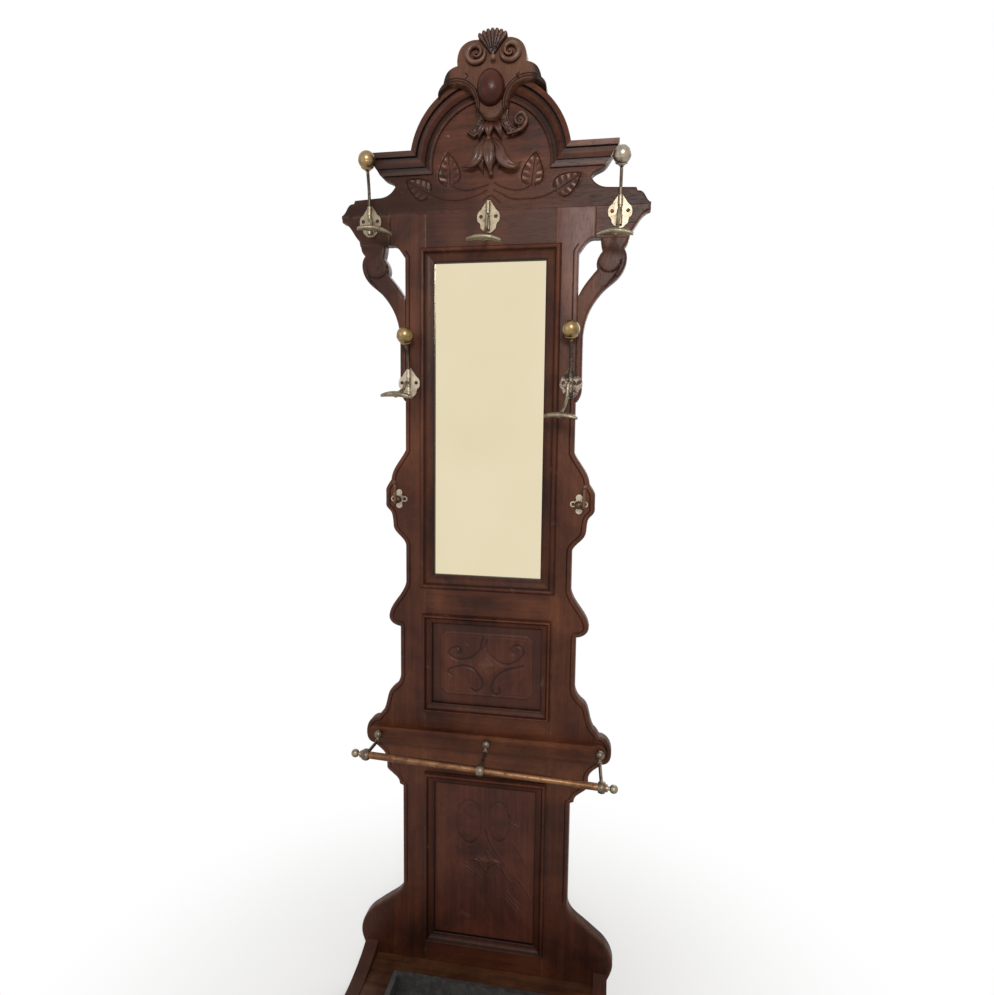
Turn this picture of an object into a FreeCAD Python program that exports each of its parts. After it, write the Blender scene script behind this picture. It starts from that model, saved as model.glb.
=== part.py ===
import FreeCAD, Part
import math
import os
import re
from types import SimpleNamespace
from FreeCAD import Placement, Rotation, Vector

# Hall tree: a carved frame of stiles and rails with a mirror, two panels, a crest,
# swivelling coat hooks, an umbrella rail and a base with a lift-out drip pan.
# Millimetres. X runs across the front, +Y to the wall, +Z up, floor at zero.

doc = FreeCAD.newDocument("hall_tree")
sheet = doc.addObject("Spreadsheet::Sheet", "Sizes")

driving_sizes = {
    # whole stand
    "overall_width": 680,
    "overall_depth": 300,
    "board_thickness": 26,
    "seam_height": 1904,
    "fit_gap": 0.2,
    "cut_overrun": 2,
    # stiles, measured from the middle of the stand
    "frame_opening": 287,
    "upper_edge": 193,
    "waist_edge": 207,
    "lower_edge": 202,
    "base_edge": 300,
    "plinth_bottom": 132,
    "plinth_height": 188,
    "plinth_reach": 110,
    "ear_bottom": 568,
    "ear_height": 279,
    "ear_reach": 92,
    "bulge_bottom": 966,
    "bulge_height": 108,
    "bulge_reach": 28,
    "bump_bottom": 1162,
    "bump_height": 222,
    "bump_reach": 48,
    "shoulder_drop": 93,
    "shoulder_rise": 28.5,
    # rails and their tenons
    "top_rail_bottom": 1818,
    "mirror_rail_bottom": 992,
    "mirror_rail_height": 84,
    "middle_rail_bottom": 608,
    "middle_rail_height": 164,
    "bottom_rail_bottom": 20,
    "bottom_rail_height": 156,
    "tenon_length": 30,
    "tenon_thickness": 9,
    "tenon_shoulder": 12,
    # crest board and the mouldings on it
    "arm_reach": 125,
    "wing_height": 127,
    "arch_radius": 175,
    "arch_rise": 97,
    "crown_half_width": 114.5,
    "crown_rise": 214.5,
    "crown_height": 123,
    "cornice_width": 46,
    "cornice_depth": 18,
    # carvings on the crest
    "carving_offset": 6,
    "cartouche_thickness": 18,
    "eye_radius": 44,
    "eye_spacing": 154,
    "eye_rise": 28,
    "tongue_half_width": 24,
    "tongue_drop": 38.5,
    "egg_width": 59,
    "egg_height": 73,
    "egg_depth": 27,
    "egg_rise": 57,
    "volute_radius": 23,
    "volute_spacing": 67,
    "volute_rise": 5,
    "palmette_radius": 52,
    "palmette_shift": 4,
    "palmette_rise": 77.5,
    "palmette_depth": 12,
    "bell_overlap": 6,
    "bell_height": 116,
    "bell_depth": 24,
    "bell_half_width": 66,
    "strap_spacing": 122,
    "strap_rise": 12,
    "strap_radius": 29,
    "strap_width": 16,
    "strap_depth": 16,
    "strap_disc_radius": 11.5,
    # brackets under the arms
    "arm_block_inner": 228,
    "arm_block_drop": 64.5,
    "brace_height": 344.5,
    "brace_reach": 105,
    "brace_thickness": 26,
    # framed mirror and panels
    "mirror_sight_width": 248,
    "mirror_sight_bottom": 1096,
    "mirror_sight_height": 702,
    "mirror_moulding_width": 33,
    "upper_sight_width": 258,
    "upper_sight_bottom": 786,
    "upper_sight_height": 194,
    "lower_sight_width": 244,
    "lower_sight_bottom": 198,
    "lower_sight_height": 389,
    "upper_moulding_width": 22,
    "lower_moulding_width": 25,
    "moulding_proud": 12,
    "panel_recess": 6,
    "glass_thickness": 4,
    "backboard_thickness": 7,
    "panel_thickness": 12,
    "panel_play": 1,
    # umbrella rail
    "apron_width": 566,
    "apron_bottom": 681,
    "apron_height": 42,
    "apron_thickness": 18,
    "rail_offset": 9.5,
    "rail_forward": 100,
    "rail_height": 683,
    "rail_length": 552,
    "rail_radius": 8,
    "rail_tilt": 2.15,
    "bracket_offset": 8,
    "bracket_spread": 261,
    "eye_spread": 266,
    "bracket_height": 708,
    "knob_radius": 10,
    "knob_forward": 9,
    "bracket_flange_radius": 7,
    "bracket_elbow_forward": 16,
    "bracket_elbow_drop": 14,
    "bracket_stem_radius": 3.8,
    "bracket_tail": 30,
    "bracket_bulge_radius": 5.8,
    "rail_wall": 1.5,
    "eye_length": 16,
    "eye_wall": 5,
    "finial_radius": 9.3,
    "finial_neck_radius": 4.2,
    "finial_neck": 8,
    # base
    "cheek_thickness": 32,
    "cheek_height": 150,
    "tray_width": 536,
    "tray_depth": 252,
    "tray_height": 118,
    "tray_thickness": 18,
    "front_board_thickness": 18,
    "pan_length": 400,
    "pan_width": 150,
    "pan_depth": 40,
    "pan_wall": 1.5,
    "pan_rim": 10,
    "pan_forward": 132,
    "pan_clearance": 1,
    # swivel hooks
    "hook_plate_width": 49.5,
    "hook_plate_height": 67.5,
    "hook_plate_thickness": 3.5,
    "hook_screw_spacing": 33,
    "top_hook_inset": 66,
    "top_hook_drop": 13,
    "top_hook_shift": 3,
    "centre_hook_shift": 3,
    "middle_hook_spread": 182.6,
    "middle_hook_shift": 0.4,
    "middle_hook_height": 1536,
    "pin_forward": 8.6,
    "pin_radius": 2,
    "pin_running_gap": 0.05,
    "ridge_radius": 5.2,
    "barrel_radius": 4.4,
    "barrel_length": 20,
    "barrel_end_gap": 0.4,
    "lug_length": 9,
    "arm_radius": 3.8,
    "arm_reach_out": 61,
    "bar_length": 73,
    "bar_depth": 19,
    "bar_height": 12.5,
    "bar_droop": 5,
    "bar_bow": 3,
    "bar_roll": 3,
    "arm_lug_radius": 6.5,
    "arm_lug_drop": 1.5,
    "prong_radius": 3.4,
    "prong_forward": 29,
    "ball_radius": 18.8,
    "top_left_drop": 32,
    "top_right_drop": 58.5,
    "centre_drop": 60,
    "middle_left_drop": 28,
    "middle_right_drop": 70,
    "top_left_turn": 31,
    "top_right_turn": -8,
    "centre_turn": 3,
    "middle_left_turn": -9,
    "middle_right_turn": -16,
    "top_left_lean": 6,
    "top_right_lean": 1,
    "middle_left_lean": 1.5,
    "middle_right_lean": 0,
    "top_left_rise": 118,
    "top_right_rise": 98.5,
    "middle_left_rise": 101,
    "middle_right_rise": 110,
    # small fixed hooks
    "peg_spread": 207,
    "peg_height": 1271,
    "peg_plate_radius": 11,
    "peg_lobe_radius": 7.4,
    "peg_lobe_offset": 14.4,
    "peg_side_radius": 6.4,
    "peg_side_offset": 13.2,
    "peg_plate_thickness": 3,
    "peg_stem_radius": 4.5,
    "peg_knob_radius": 9,
    "peg_knob_forward": 16,
    "peg_prong_radius": 3.4,
    "peg_prong_drop": 9,
    "peg_prong_rise": 40,
    "peg_prong_forward": 33,
    "peg_tip_radius": 5,
    "left_peg_lean": 0,
    "right_peg_lean": 12,
    # fasteners
    "screw_head_radius": 3.9,
    "screw_head_height": 2.4,
    "screw_shank_radius": 1.8,
    "screw_length": 18,
    "dowel_radius": 5,
    "dowel_depth": 28,
}
for row, (alias, number) in enumerate(driving_sizes.items(), 1):
    sheet.set(f"A{row}", alias)
    sheet.set(f"B{row}", str(number))
    sheet.setAlias(f"B{row}", alias)
doc.recompute()
size = SimpleNamespace(**{alias: float(sheet.get(alias)) for alias in driving_sizes})

nodes = []
half_width = size.overall_width / 2
back_y = size.overall_depth / 2
face_y = back_y - size.board_thickness
stile_inner = size.frame_opening / 2
arch_centre = size.seam_height + size.arch_rise
crown_bottom = size.seam_height + size.crown_rise
tongue_bottom = crown_bottom - size.tongue_drop
eye_height = tongue_bottom + size.eye_rise
palmette_bottom = crown_bottom + size.palmette_rise
top_hook_x = half_width - size.top_hook_inset
top_hook_z = size.seam_height - size.top_hook_drop


def keep(feature, label):
    """Name a finished sub-part and remember it for checking and writing."""
    feature.Label = label
    nodes.append(feature)
    return feature


def formula(text):
    """Turn plain words of the size sheet into an expression that reads its cells."""
    return re.sub(r"[a-z]\w*", lambda word: "Sizes." + word.group(0), text)


def bind(feature, **formulas):
    """Tie properties of a feature to the size sheet."""
    for name, text in formulas.items():
        feature.setExpression(name, formula(text))
    return feature


def move(feature, x="0", y="0", z="0"):
    """Tie the place of a feature to the size sheet."""
    for axis, text in (("x", x), ("y", y), ("z", z)):
        feature.setExpression(f".Placement.Base.{axis}", formula(text))
    return feature


def box(name, length, width, height, x, y, z):
    block = bind(doc.addObject("Part::Box", name), Length=length, Width=width, Height=height)
    return move(block, x, y, z)


def cylinder(name, radius, height, x, y, z, rotation=None):
    rod = bind(doc.addObject("Part::Cylinder", name), Radius=radius, Height=height)
    if rotation:
        rod.Placement = Placement(Vector(), rotation)
    return move(rod, x, y, z)


def fuse(name, parts):
    joined = doc.addObject("Part::MultiFuse", name)
    joined.Shapes = parts
    return joined


def cut(name, base, tools):
    result = doc.addObject("Part::Cut", name)
    result.Base = base
    result.Tool = fuse(name + "_tools", tools) if len(tools) > 1 else tools[0]
    return result


def solid(name, shape, set_at=None):
    """A sub-part whose form needs the shape functions; its place is set after its shape."""
    feature = doc.addObject("Part::Feature", name)
    feature.Shape = shape
    if set_at:
        feature.Placement = set_at
    return feature


forward_turn = Rotation(Vector(1, 0, 0), 90)
face_formula = "overall_depth / 2 - board_thickness"


class Outline:
    """A closed outline of straight runs, arcs and smooth curves, drawn from a start point."""

    def __init__(self, x, z):
        self.start = self.at = (x, z)
        self.runs = []

    def line(self, *points):
        for point in points:
            self.runs.append((self.at, point))
            self.at = point
        return self

    def curve(self, *points):
        self.runs.append((self.at, *points))
        self.at = points[-1]
        return self

    def arc(self, middle, end):
        self.runs.append(("arc", self.at, middle, end))
        self.at = end
        return self

    def mirror_back(self):
        """Run the outline so far back to its start, mirrored about the middle line."""
        for run in list(reversed(self.runs)):
            kind = run[:1] if run[0] == "arc" else ()
            points = [(-x, z) for x, z in reversed(run[len(kind):])]
            self.runs.append((*kind, *points))
        self.at = self.start
        return self

    def close(self):
        if self.at != self.start:
            self.line(self.start)
        return self

    def shift(self, across, above):
        """Move the points above a height to one side, as the carver set them."""
        self.runs = [tuple((item[0] + across, item[1]) if item[0] != "a" and item[1] > above else item
                           for item in run) for run in self.runs]
        return self

    def geometry(self, side=1):
        """The curves of the outline; side -1 gives the mirrored one."""
        curves = []
        for run in self.runs:
            kind = run[:1] if run[0] == "arc" else ()
            points = [Vector(side * x, z, 0) for x, z in run[len(kind):]]
            if kind:
                curves.append(Part.Arc(*points))
            elif len(points) == 2:
                curves.append(Part.LineSegment(*points))
            else:
                smooth = Part.BSplineCurve()
                smooth.interpolate(points)
                curves.append(smooth)
        return curves

    def face(self, side=1):
        edges = [curve.toShape() for curve in self.geometry(side)]
        return Part.Face(Part.Wire(Part.__sortEdges__(edges)))


def padded(name, outline, side, thickness, x="0", y="0", plane="XZ_Plane"):
    """A board cut to an outline: forward from y in the XZ plane, to the right from x in YZ."""
    body = doc.addObject("PartDesign::Body", name)
    sketch = body.newObject("Sketcher::SketchObject", name + "_outline")
    origin = [item for item in body.Origin.OriginFeatures if item.Role == plane]
    sketch.AttachmentSupport = [(origin[0], "")]
    sketch.MapMode = "FlatFace"
    sketch.addGeometry(outline.geometry(side))
    pad = body.newObject("PartDesign::Pad", name + "_pad")
    pad.Profile = sketch
    bind(pad, Length=thickness)
    return move(body, x, y)


def in_box(shares, x, z, width, height):
    """Points of a table of shares, set in a box with its corner at x, z."""
    return [(x + across * width, z + up * height) for across, up in shares]


def pipe(path, radius):
    """A round rod along straight runs joined by arcs."""
    start = path[0]
    wire = Part.Wire([curve.toShape() for curve in path])
    at = start.value(start.FirstParameter)
    along = start.tangent(start.FirstParameter)[0]
    ring = Part.Wire([Part.Circle(at, along, radius).toShape()])
    return wire.makePipeShell([ring], True, True)


def rounded_path(points, bend_share):
    """Straight runs through the points, each corner rounded by an arc of the given share."""
    curves = []
    at = points[0]
    for before, corner, after in zip(points, points[1:], points[2:]):
        reach = bend_share * min((corner - before).Length, (after - corner).Length)
        entry = corner + (before - corner).normalize() * reach
        leave = corner + (after - corner).normalize() * reach
        half = ((entry - corner).getAngle(leave - corner)) / 2
        inward = ((entry - corner) + (leave - corner)).normalize()
        apex = corner + inward * (reach / math.cos(half) - reach * math.tan(half))
        curves.append(Part.LineSegment(at, entry))
        curves.append(Part.Arc(entry, apex, leave))
        at = leave
    curves.append(Part.LineSegment(at, points[-1]))
    return curves


def slab(outline, back, front, side=1):
    """An outline drawn from one depth to another, both counted forward from the boards' face."""
    face = outline.face(side)
    face.rotate(Vector(), Vector(1, 0, 0), 90)
    face.translate(Vector(0, face_y - back, 0))
    return face.extrude(Vector(0, back - front, 0))


def place(x, out, z):
    """A point by its distance forward of the boards' face."""
    return Vector(x, face_y - out, z)


def forward_rod(radius, x, back, front, z):
    return Part.makeCylinder(radius, front - back, place(x, back, z), Vector(0, -1, 0))


# Stiles: board edges with a plinth flare, an apron ear, a bulge, a bump and a shoulder
plinth_lobe_shares = [(0.955, 0.09), (1.0, 0.2), (0.973, 0.33), (0.89, 0.44), (0.745, 0.545)]
plinth_ogee_shares = [(0.545, 0.64), (0.345, 0.73), (0.145, 0.82), (0.036, 0.905), (0.0, 1.0)]
ear_foot_shares = [(0.13, 0.054), (0.26, 0.097), (0.445, 0.154)]
ear_hollow_shares = [(0.52, 0.29), (0.65, 0.33), (0.79, 0.366)]
ear_round_shares = [(0.935, 0.39), (1.0, 0.462), (0.945, 0.545), (0.84, 0.587), (0.68, 0.605)]
ear_step_shares = [(0.62, 0.637), (0.53, 0.668)]
ear_lobe_shares = [(0.457, 0.731), (0.413, 0.792), (0.36, 0.846), (0.27, 0.885)]
ear_corner_shares = [(0.1, 0.014), (0.445, 0.237), (0.13, 0.93)]
bulge_lobe_shares = [(0.6, 0.05), (0.93, 0.14), (1.0, 0.235)]
bulge_ogee_shares = [(0.78, 0.42), (0.14, 0.67)]
bump_foot_shares = [(0.17, 0.068), (0.5, 0.14), (0.63, 0.2)]
bump_lobe_shares = [(0.67, 0.29), (0.76, 0.35), (0.93, 0.39), (1.0, 0.45)]
bump_brow_shares = [(1.0, 0.555), (0.96, 0.61), (0.85, 0.65), (0.73, 0.69)]
bump_head_shares = [(0.6, 0.79), (0.33, 0.885), (0.0, 1.0)]
shoulder_shares = [(0.28, 0.5), (0.6, 0.9), (1.0, 1.0)]


def stile_outline():
    plinth = (size.lower_edge, size.plinth_bottom, size.plinth_reach, size.plinth_height)
    ear = (size.lower_edge, size.ear_bottom, size.ear_reach, size.ear_height)
    bulge = (size.waist_edge, size.bulge_bottom, size.bulge_reach, size.bulge_height)
    bump = (size.upper_edge, size.bump_bottom, size.bump_reach, size.bump_height)
    shoulder = (size.upper_edge, size.seam_height - size.shoulder_drop,
                size.arm_block_inner - size.upper_edge, size.shoulder_rise)
    ear_toe, ear_post, ear_neck = in_box(ear_corner_shares, *ear)
    outline = Outline(stile_inner, 0)
    outline.line((size.base_edge, 0), (size.base_edge, size.plinth_bottom))
    outline.curve(*in_box(plinth_lobe_shares, *plinth)).curve(*in_box(plinth_ogee_shares, *plinth))
    outline.line((size.lower_edge, size.ear_bottom), ear_toe)
    outline.curve(*in_box(ear_foot_shares, *ear)).line(ear_post)
    outline.curve(*in_box(ear_hollow_shares, *ear)).curve(*in_box(ear_round_shares, *ear))
    outline.curve(*in_box(ear_step_shares, *ear)).curve(*in_box(ear_lobe_shares, *ear))
    outline.curve(ear_neck, (size.waist_edge, size.ear_bottom + size.ear_height))
    outline.line((size.waist_edge, size.bulge_bottom))
    outline.curve(*in_box(bulge_lobe_shares, *bulge))
    outline.curve(*in_box(bulge_ogee_shares, *bulge),
                  (size.upper_edge, size.bulge_bottom + size.bulge_height))
    outline.line((size.upper_edge, size.bump_bottom))
    brow = in_box(bump_brow_shares, *bump)
    outline.curve(*in_box(bump_foot_shares, *bump)).curve(*in_box(bump_lobe_shares, *bump))
    outline.line(brow[0]).curve(*brow[1:]).curve(*in_box(bump_head_shares, *bump))
    outline.line((size.upper_edge, size.seam_height - size.shoulder_drop))
    outline.curve(*in_box(shoulder_shares, *shoulder))
    outline.line((size.arm_block_inner, size.seam_height), (stile_inner, size.seam_height))
    return outline.close()


rails = {
    "top_rail": ("top_rail_bottom", "(seam_height - top_rail_bottom)"),
    "mirror_rail": ("mirror_rail_bottom", "mirror_rail_height"),
    "middle_rail": ("middle_rail_bottom", "middle_rail_height"),
    "bottom_rail": ("bottom_rail_bottom", "bottom_rail_height"),
}
tenon_y = "overall_depth / 2 - board_thickness / 2 - tenon_thickness / 2"


def mortises(side_name, side):
    """Slots for the rails' tenons, a little larger than the tenons."""
    slots = []
    for rail, (bottom, height) in rails.items():
        start = "frame_opening / 2 - cut_overrun"
        if side < 0:
            start = "-frame_opening / 2 - tenon_length - fit_gap"
        slots.append(box(f"{side_name}_{rail}_mortise", "tenon_length + fit_gap + cut_overrun",
                         "tenon_thickness + 2 * fit_gap", height + " - 2 * tenon_shoulder + 2 * fit_gap",
                         start, tenon_y + " - fit_gap", bottom + " + tenon_shoulder - fit_gap"))
    return slots


def pilot_hole(name, x, z):
    """A hole in the boards for a screw, from the front."""
    return cylinder(name, "screw_shank_radius + fit_gap", "screw_length + fit_gap + cut_overrun", x,
                    face_formula + " + screw_length + fit_gap", z, forward_turn)


def bracket_hole(name, step):
    """A hole through the apron into the boards behind it, for the tail of a rail bracket."""
    return cylinder(name, "bracket_stem_radius + fit_gap", "bracket_tail + fit_gap + cut_overrun",
                    bracket_x(step), face_formula + " + bracket_tail - apron_thickness + fit_gap",
                    "bracket_height", forward_turn)


def bracket_x(step):
    return f"bracket_offset + {step} * bracket_spread"


top_spread = "(overall_width / 2 - top_hook_inset)"
top_height = "(seam_height - top_hook_drop)"
dowel_places = {"rail": "frame_opening / 4", "stile": "upper_edge", "block": top_spread}


def dowel_hole(name, x):
    return cylinder(name, "dowel_radius + fit_gap", "2 * dowel_depth + 2 * fit_gap", x,
                    "overall_depth / 2 - board_thickness / 2", "seam_height - dowel_depth - fit_gap")


# name: place across and height of the plate's middle, tied to the sheet and as numbers
hooks = {"centre": ("-centre_hook_shift", top_height, -size.centre_hook_shift, top_hook_z)}
for side_name, side in (("left", -1), ("right", 1)):
    hooks["top_" + side_name] = (f"top_hook_shift + {side} * {top_spread}", top_height,
                                 size.top_hook_shift + side * top_hook_x, top_hook_z)
    hooks["middle_" + side_name] = (f"middle_hook_shift + {side} * middle_hook_spread", "middle_hook_height",
                                    size.middle_hook_shift + side * size.middle_hook_spread,
                                    size.middle_hook_height)


def hook_pilot(name, hook, screw_side):
    """A hole in the boards for one of the two screws of a hook's plate."""
    across, height = hooks[hook][:2]
    return pilot_hole(name, f"{across} + {screw_side} * hook_screw_spacing / 2", height)


def peg_screw_x(side, screw_side):
    return f"{side} * peg_spread + {screw_side} * peg_side_offset"


for side_name, side in (("left", -1), ("right", 1)):
    board = padded(side_name + "_stile_board", stile_outline(), side, "board_thickness",
                   y="overall_depth / 2")
    holes = mortises(side_name, side)
    holes.append(dowel_hole(side_name + "_stile_dowel_hole", f"{side} * {dowel_places['stile']}"))
    holes.append(hook_pilot(side_name + "_stile_hook_pilot", "middle_" + side_name, -side))
    for screw_side in (-1, 1):
        holes.append(pilot_hole(f"{side_name}_peg_pilot_{screw_side + 1}",
                                peg_screw_x(side, screw_side), "peg_height"))
    holes.append(bracket_hole(side_name + "_stile_bracket_hole", side))
    keep(cut(side_name + "_stile", board, holes), side_name + "_stile")

# Rails: a board between the stiles with a tenon at each end
for rail, (bottom, height) in rails.items():
    board = box(rail + "_board", "frame_opening", "board_thickness", height,
                "-frame_opening / 2", face_formula, bottom)
    tenon = box(rail + "_tenon", "frame_opening + 2 * tenon_length", "tenon_thickness",
                height + " - 2 * tenon_shoulder", "-frame_opening / 2 - tenon_length", tenon_y,
                bottom + " + tenon_shoulder")
    member = fuse(rail + "_joined", [board, tenon])
    holes = []
    if rail == "top_rail":
        for hole_side in (-1, 1):
            holes.append(dowel_hole(f"{rail}_dowel_hole_{hole_side + 1}",
                                    f"{hole_side} * {dowel_places['rail']}"))
            holes.append(hook_pilot(f"{rail}_pilot_{hole_side + 1}", "centre", hole_side))
    if rail == "middle_rail":
        holes.append(bracket_hole(rail + "_bracket_hole", 0))
    keep(cut(rail, member, holes) if holes else member, rail)

# Crest board: arms, wings, arch and crown in one silhouette
arm_tip_shares = [(0.944, 0.078), (0.888, 0.17), (0.776, 0.225)]
arm_top_shares = [(0.752, 0.279), (0.296, 0.302)]
arm_neck_shares = [(0.12, 0.349), (0.0, 0.473)]
wing_end_shares = [(0.072, 0.55), (0.192, 0.605), (0.264, 0.667), (0.336, 0.775), (0.424, 0.891),
                   (0.456, 0.938)]
arm_corner_shares = [(1.0, 0.031), (0.456, 1.0)]
crown_foot_shares = [(1.0, 0.095), (0.996, 0.183), (0.906, 0.3)]
crown_step_shares = [(0.872, 0.405), (0.829, 0.468), (0.718, 0.53), (0.632, 0.555)]
crown_head_shares = [(0.624, 0.73), (0.556, 0.85), (0.444, 0.92), (0.29, 0.944)]
crown_top_share = 0.95
wing_top = size.seam_height + size.wing_height
arm_box = (half_width - size.arm_reach, size.seam_height, size.arm_reach, size.wing_height)
crown_box = (0, crown_bottom, size.crown_half_width, size.crown_height)
arm_corner, wing_corner = in_box(arm_corner_shares, *arm_box)


def on_arch(z, radius):
    """The point of a circle about the arch's centre at a height, on the right."""
    return math.sqrt(radius ** 2 - (z - arch_centre) ** 2), z


def crest_outline():
    hidden_share = 0.95
    start_height = crown_bottom + crown_foot_shares[0][1] * size.crown_height
    springing = on_arch(wing_top, size.arch_radius)
    crown_start = on_arch(start_height, size.arch_radius)
    haunch = on_arch((wing_top + start_height) / 2, size.arch_radius)
    crown = (0, crown_bottom, hidden_share * size.crown_half_width, hidden_share * size.crown_height)
    outline = Outline(0, size.seam_height)
    outline.line((half_width, size.seam_height), arm_corner)
    outline.curve(*in_box(arm_tip_shares, *arm_box)).line(*in_box(arm_top_shares, *arm_box))
    outline.curve(*in_box(arm_neck_shares, *arm_box)).curve(*in_box(wing_end_shares, *arm_box))
    outline.line(wing_corner, springing).arc(haunch, crown_start)
    outline.curve(*in_box(crown_foot_shares[1:], *crown)).curve(*in_box(crown_step_shares, *crown))
    outline.curve(*in_box(crown_head_shares, *crown))
    outline.line((0, crown_bottom + crown_top_share * crown[3]))
    return outline.mirror_back().shift(size.carving_offset, start_height)


crest = padded("crest_board_plank", crest_outline(), 1, "board_thickness", y="overall_depth / 2")
crest_holes = []
for spot, x in dowel_places.items():
    for hole_side in (-1, 1):
        crest_holes.append(dowel_hole(f"crest_{spot}_hole_{hole_side + 1}", f"{hole_side} * {x}"))
keep(cut("crest_board", crest, crest_holes), "crest_board")

# Cornice strips and arch: one moulded section run straight and round, mitred together
section_shares = [(0, 1), (0.24, 0.9), (0.26, 0.55), (0.33, 0.55), (0.34, 0.8), (0.5, 0.66), (0.67, 0.36),
                  (0.68, 0.15), (0.86, 0.15), (0.87, 0.32), (1, 0.26)]


def section_face(point):
    """The moulded section as a face; point turns width and depth into a place."""
    steps = [(0, 0)] + section_shares + [(1, 0)]
    points = [point(across * size.cornice_width, out * size.cornice_depth) for across, out in steps]
    return Part.Face(Part.makePolygon(points + points[:1]))


mitre_outer = on_arch(wing_top, size.arch_radius)
mitre_inner = on_arch(wing_top - size.cornice_width, size.arch_radius - size.cornice_width)


def cornice_shape(side):
    run = section_face(lambda across, out: Vector(0, face_y - out, wing_top - across))
    run = run.extrude(Vector(side * half_width, 0, 0))
    outline = Outline(*mitre_inner).line(mitre_outer, wing_corner)
    neck = in_box(arm_neck_shares, *arm_box)[-1]
    ends = in_box(wing_end_shares, *arm_box)
    outline.line(ends[-1]).curve(*reversed(ends[:-1]), neck).line((mitre_inner[0], neck[1])).close()
    return run.common(slab(outline, 0, size.cornice_depth, side))


def cartouche_outline():
    """A shield with a crown on top, a tongue below and a round bite on each side."""
    eye_x = size.eye_spacing / 2
    tongue_shares = [(0.5, 0.1), (0.92, 0.55)]
    bite_start_angle, bite_middle_angle, bite_end_angle = (math.radians(turn) for turn in (186, 115, 35))

    def on_eye(turn):
        return eye_x + size.eye_radius * math.cos(turn), eye_height + size.eye_radius * math.sin(turn)
    bite_start = on_eye(bite_start_angle)
    outline = Outline(0, tongue_bottom)
    outline.curve(*in_box(tongue_shares, 0, tongue_bottom, size.tongue_half_width,
                          bite_start[1] - tongue_bottom), bite_start)
    outline.arc(on_eye(bite_middle_angle), on_eye(bite_end_angle))
    crown_foot = in_box(crown_foot_shares, *crown_box)
    outline.line(crown_foot[0]).curve(*crown_foot[1:]).curve(*in_box(crown_step_shares, *crown_box))
    outline.curve(*in_box(crown_head_shares, *crown_box))
    outline.line((0, crown_bottom + crown_top_share * size.crown_height))
    return outline.mirror_back().shift(size.carving_offset, 0)


cartouche_depth = size.cornice_depth + size.cartouche_thickness
cartouche_block = slab(cartouche_outline(), 0, cartouche_depth)


def arch_shape():
    ring = section_face(lambda across, out: Vector(size.arch_radius - across, face_y - out, 0))
    ring.translate(Vector(0, 0, arch_centre))
    ring = ring.revolve(Vector(0, 0, arch_centre), Vector(0, 1, 0), 360)
    reach = 2 * size.arch_radius
    outline = Outline(0, mitre_inner[1]).line(mitre_inner, mitre_outer, (reach, mitre_outer[1]))
    outline.line((reach, mitre_outer[1] + reach), (0, mitre_outer[1] + reach)).mirror_back()
    return ring.common(slab(outline, 0, size.cornice_depth)).cut(cartouche_block)


for side_name, side in (("left", -1), ("right", 1)):
    keep(solid(side_name + "_cornice", cornice_shape(side)), side_name + "_cornice")
keep(solid("arch_moulding", arch_shape()), "arch_moulding")

# Cartouche, egg, palmette, straps and bellflower
keep(padded("cartouche", cartouche_outline(), 1, "cornice_depth + cartouche_thickness", y=face_formula),
     "cartouche")


def egg_shape():
    """Half an egg standing on the cartouche's front."""
    stretch = FreeCAD.Matrix()
    stretch.scale(size.egg_width / 2, size.egg_depth, size.egg_height / 2)
    half = Part.makeSphere(1).common(Part.makeBox(2, 1, 2, Vector(-1, -1, -1)))
    shape = half.transformGeometry(stretch)
    shape.translate(place(size.carving_offset, cartouche_depth, tongue_bottom + size.egg_rise))
    return shape


keep(solid("egg_boss", egg_shape()), "egg_boss")


def palmette_shape():
    """A fan of rounded leaves between two volute discs, standing on the cartouche's front."""
    lobes, spread, valley_share, volute_share = 7, math.radians(78), 0.91, 0.8
    middle_x = size.carving_offset + size.palmette_shift

    def on_fan(turn, share):
        radius = share * size.palmette_radius
        return middle_x + radius * math.sin(turn), palmette_bottom + radius * math.cos(turn)
    fan = Outline(middle_x, palmette_bottom)
    fan.line(on_fan(-spread / 2, valley_share))
    for leaf in range(lobes):
        middle = spread * ((leaf + 0.5) / lobes - 0.5)
        fan.arc(on_fan(middle, 1), on_fan(middle + spread / lobes / 2, valley_share))
    shape = slab(fan.close(), cartouche_depth, cartouche_depth + size.palmette_depth)
    for side in (-1, 1):
        disc_x = middle_x + side * size.volute_spacing / 2
        shape = shape.fuse(forward_rod(size.volute_radius, disc_x, cartouche_depth,
                                       cartouche_depth + volute_share * size.palmette_depth,
                                       palmette_bottom + size.volute_rise))
    return shape.removeSplitter()


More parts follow.
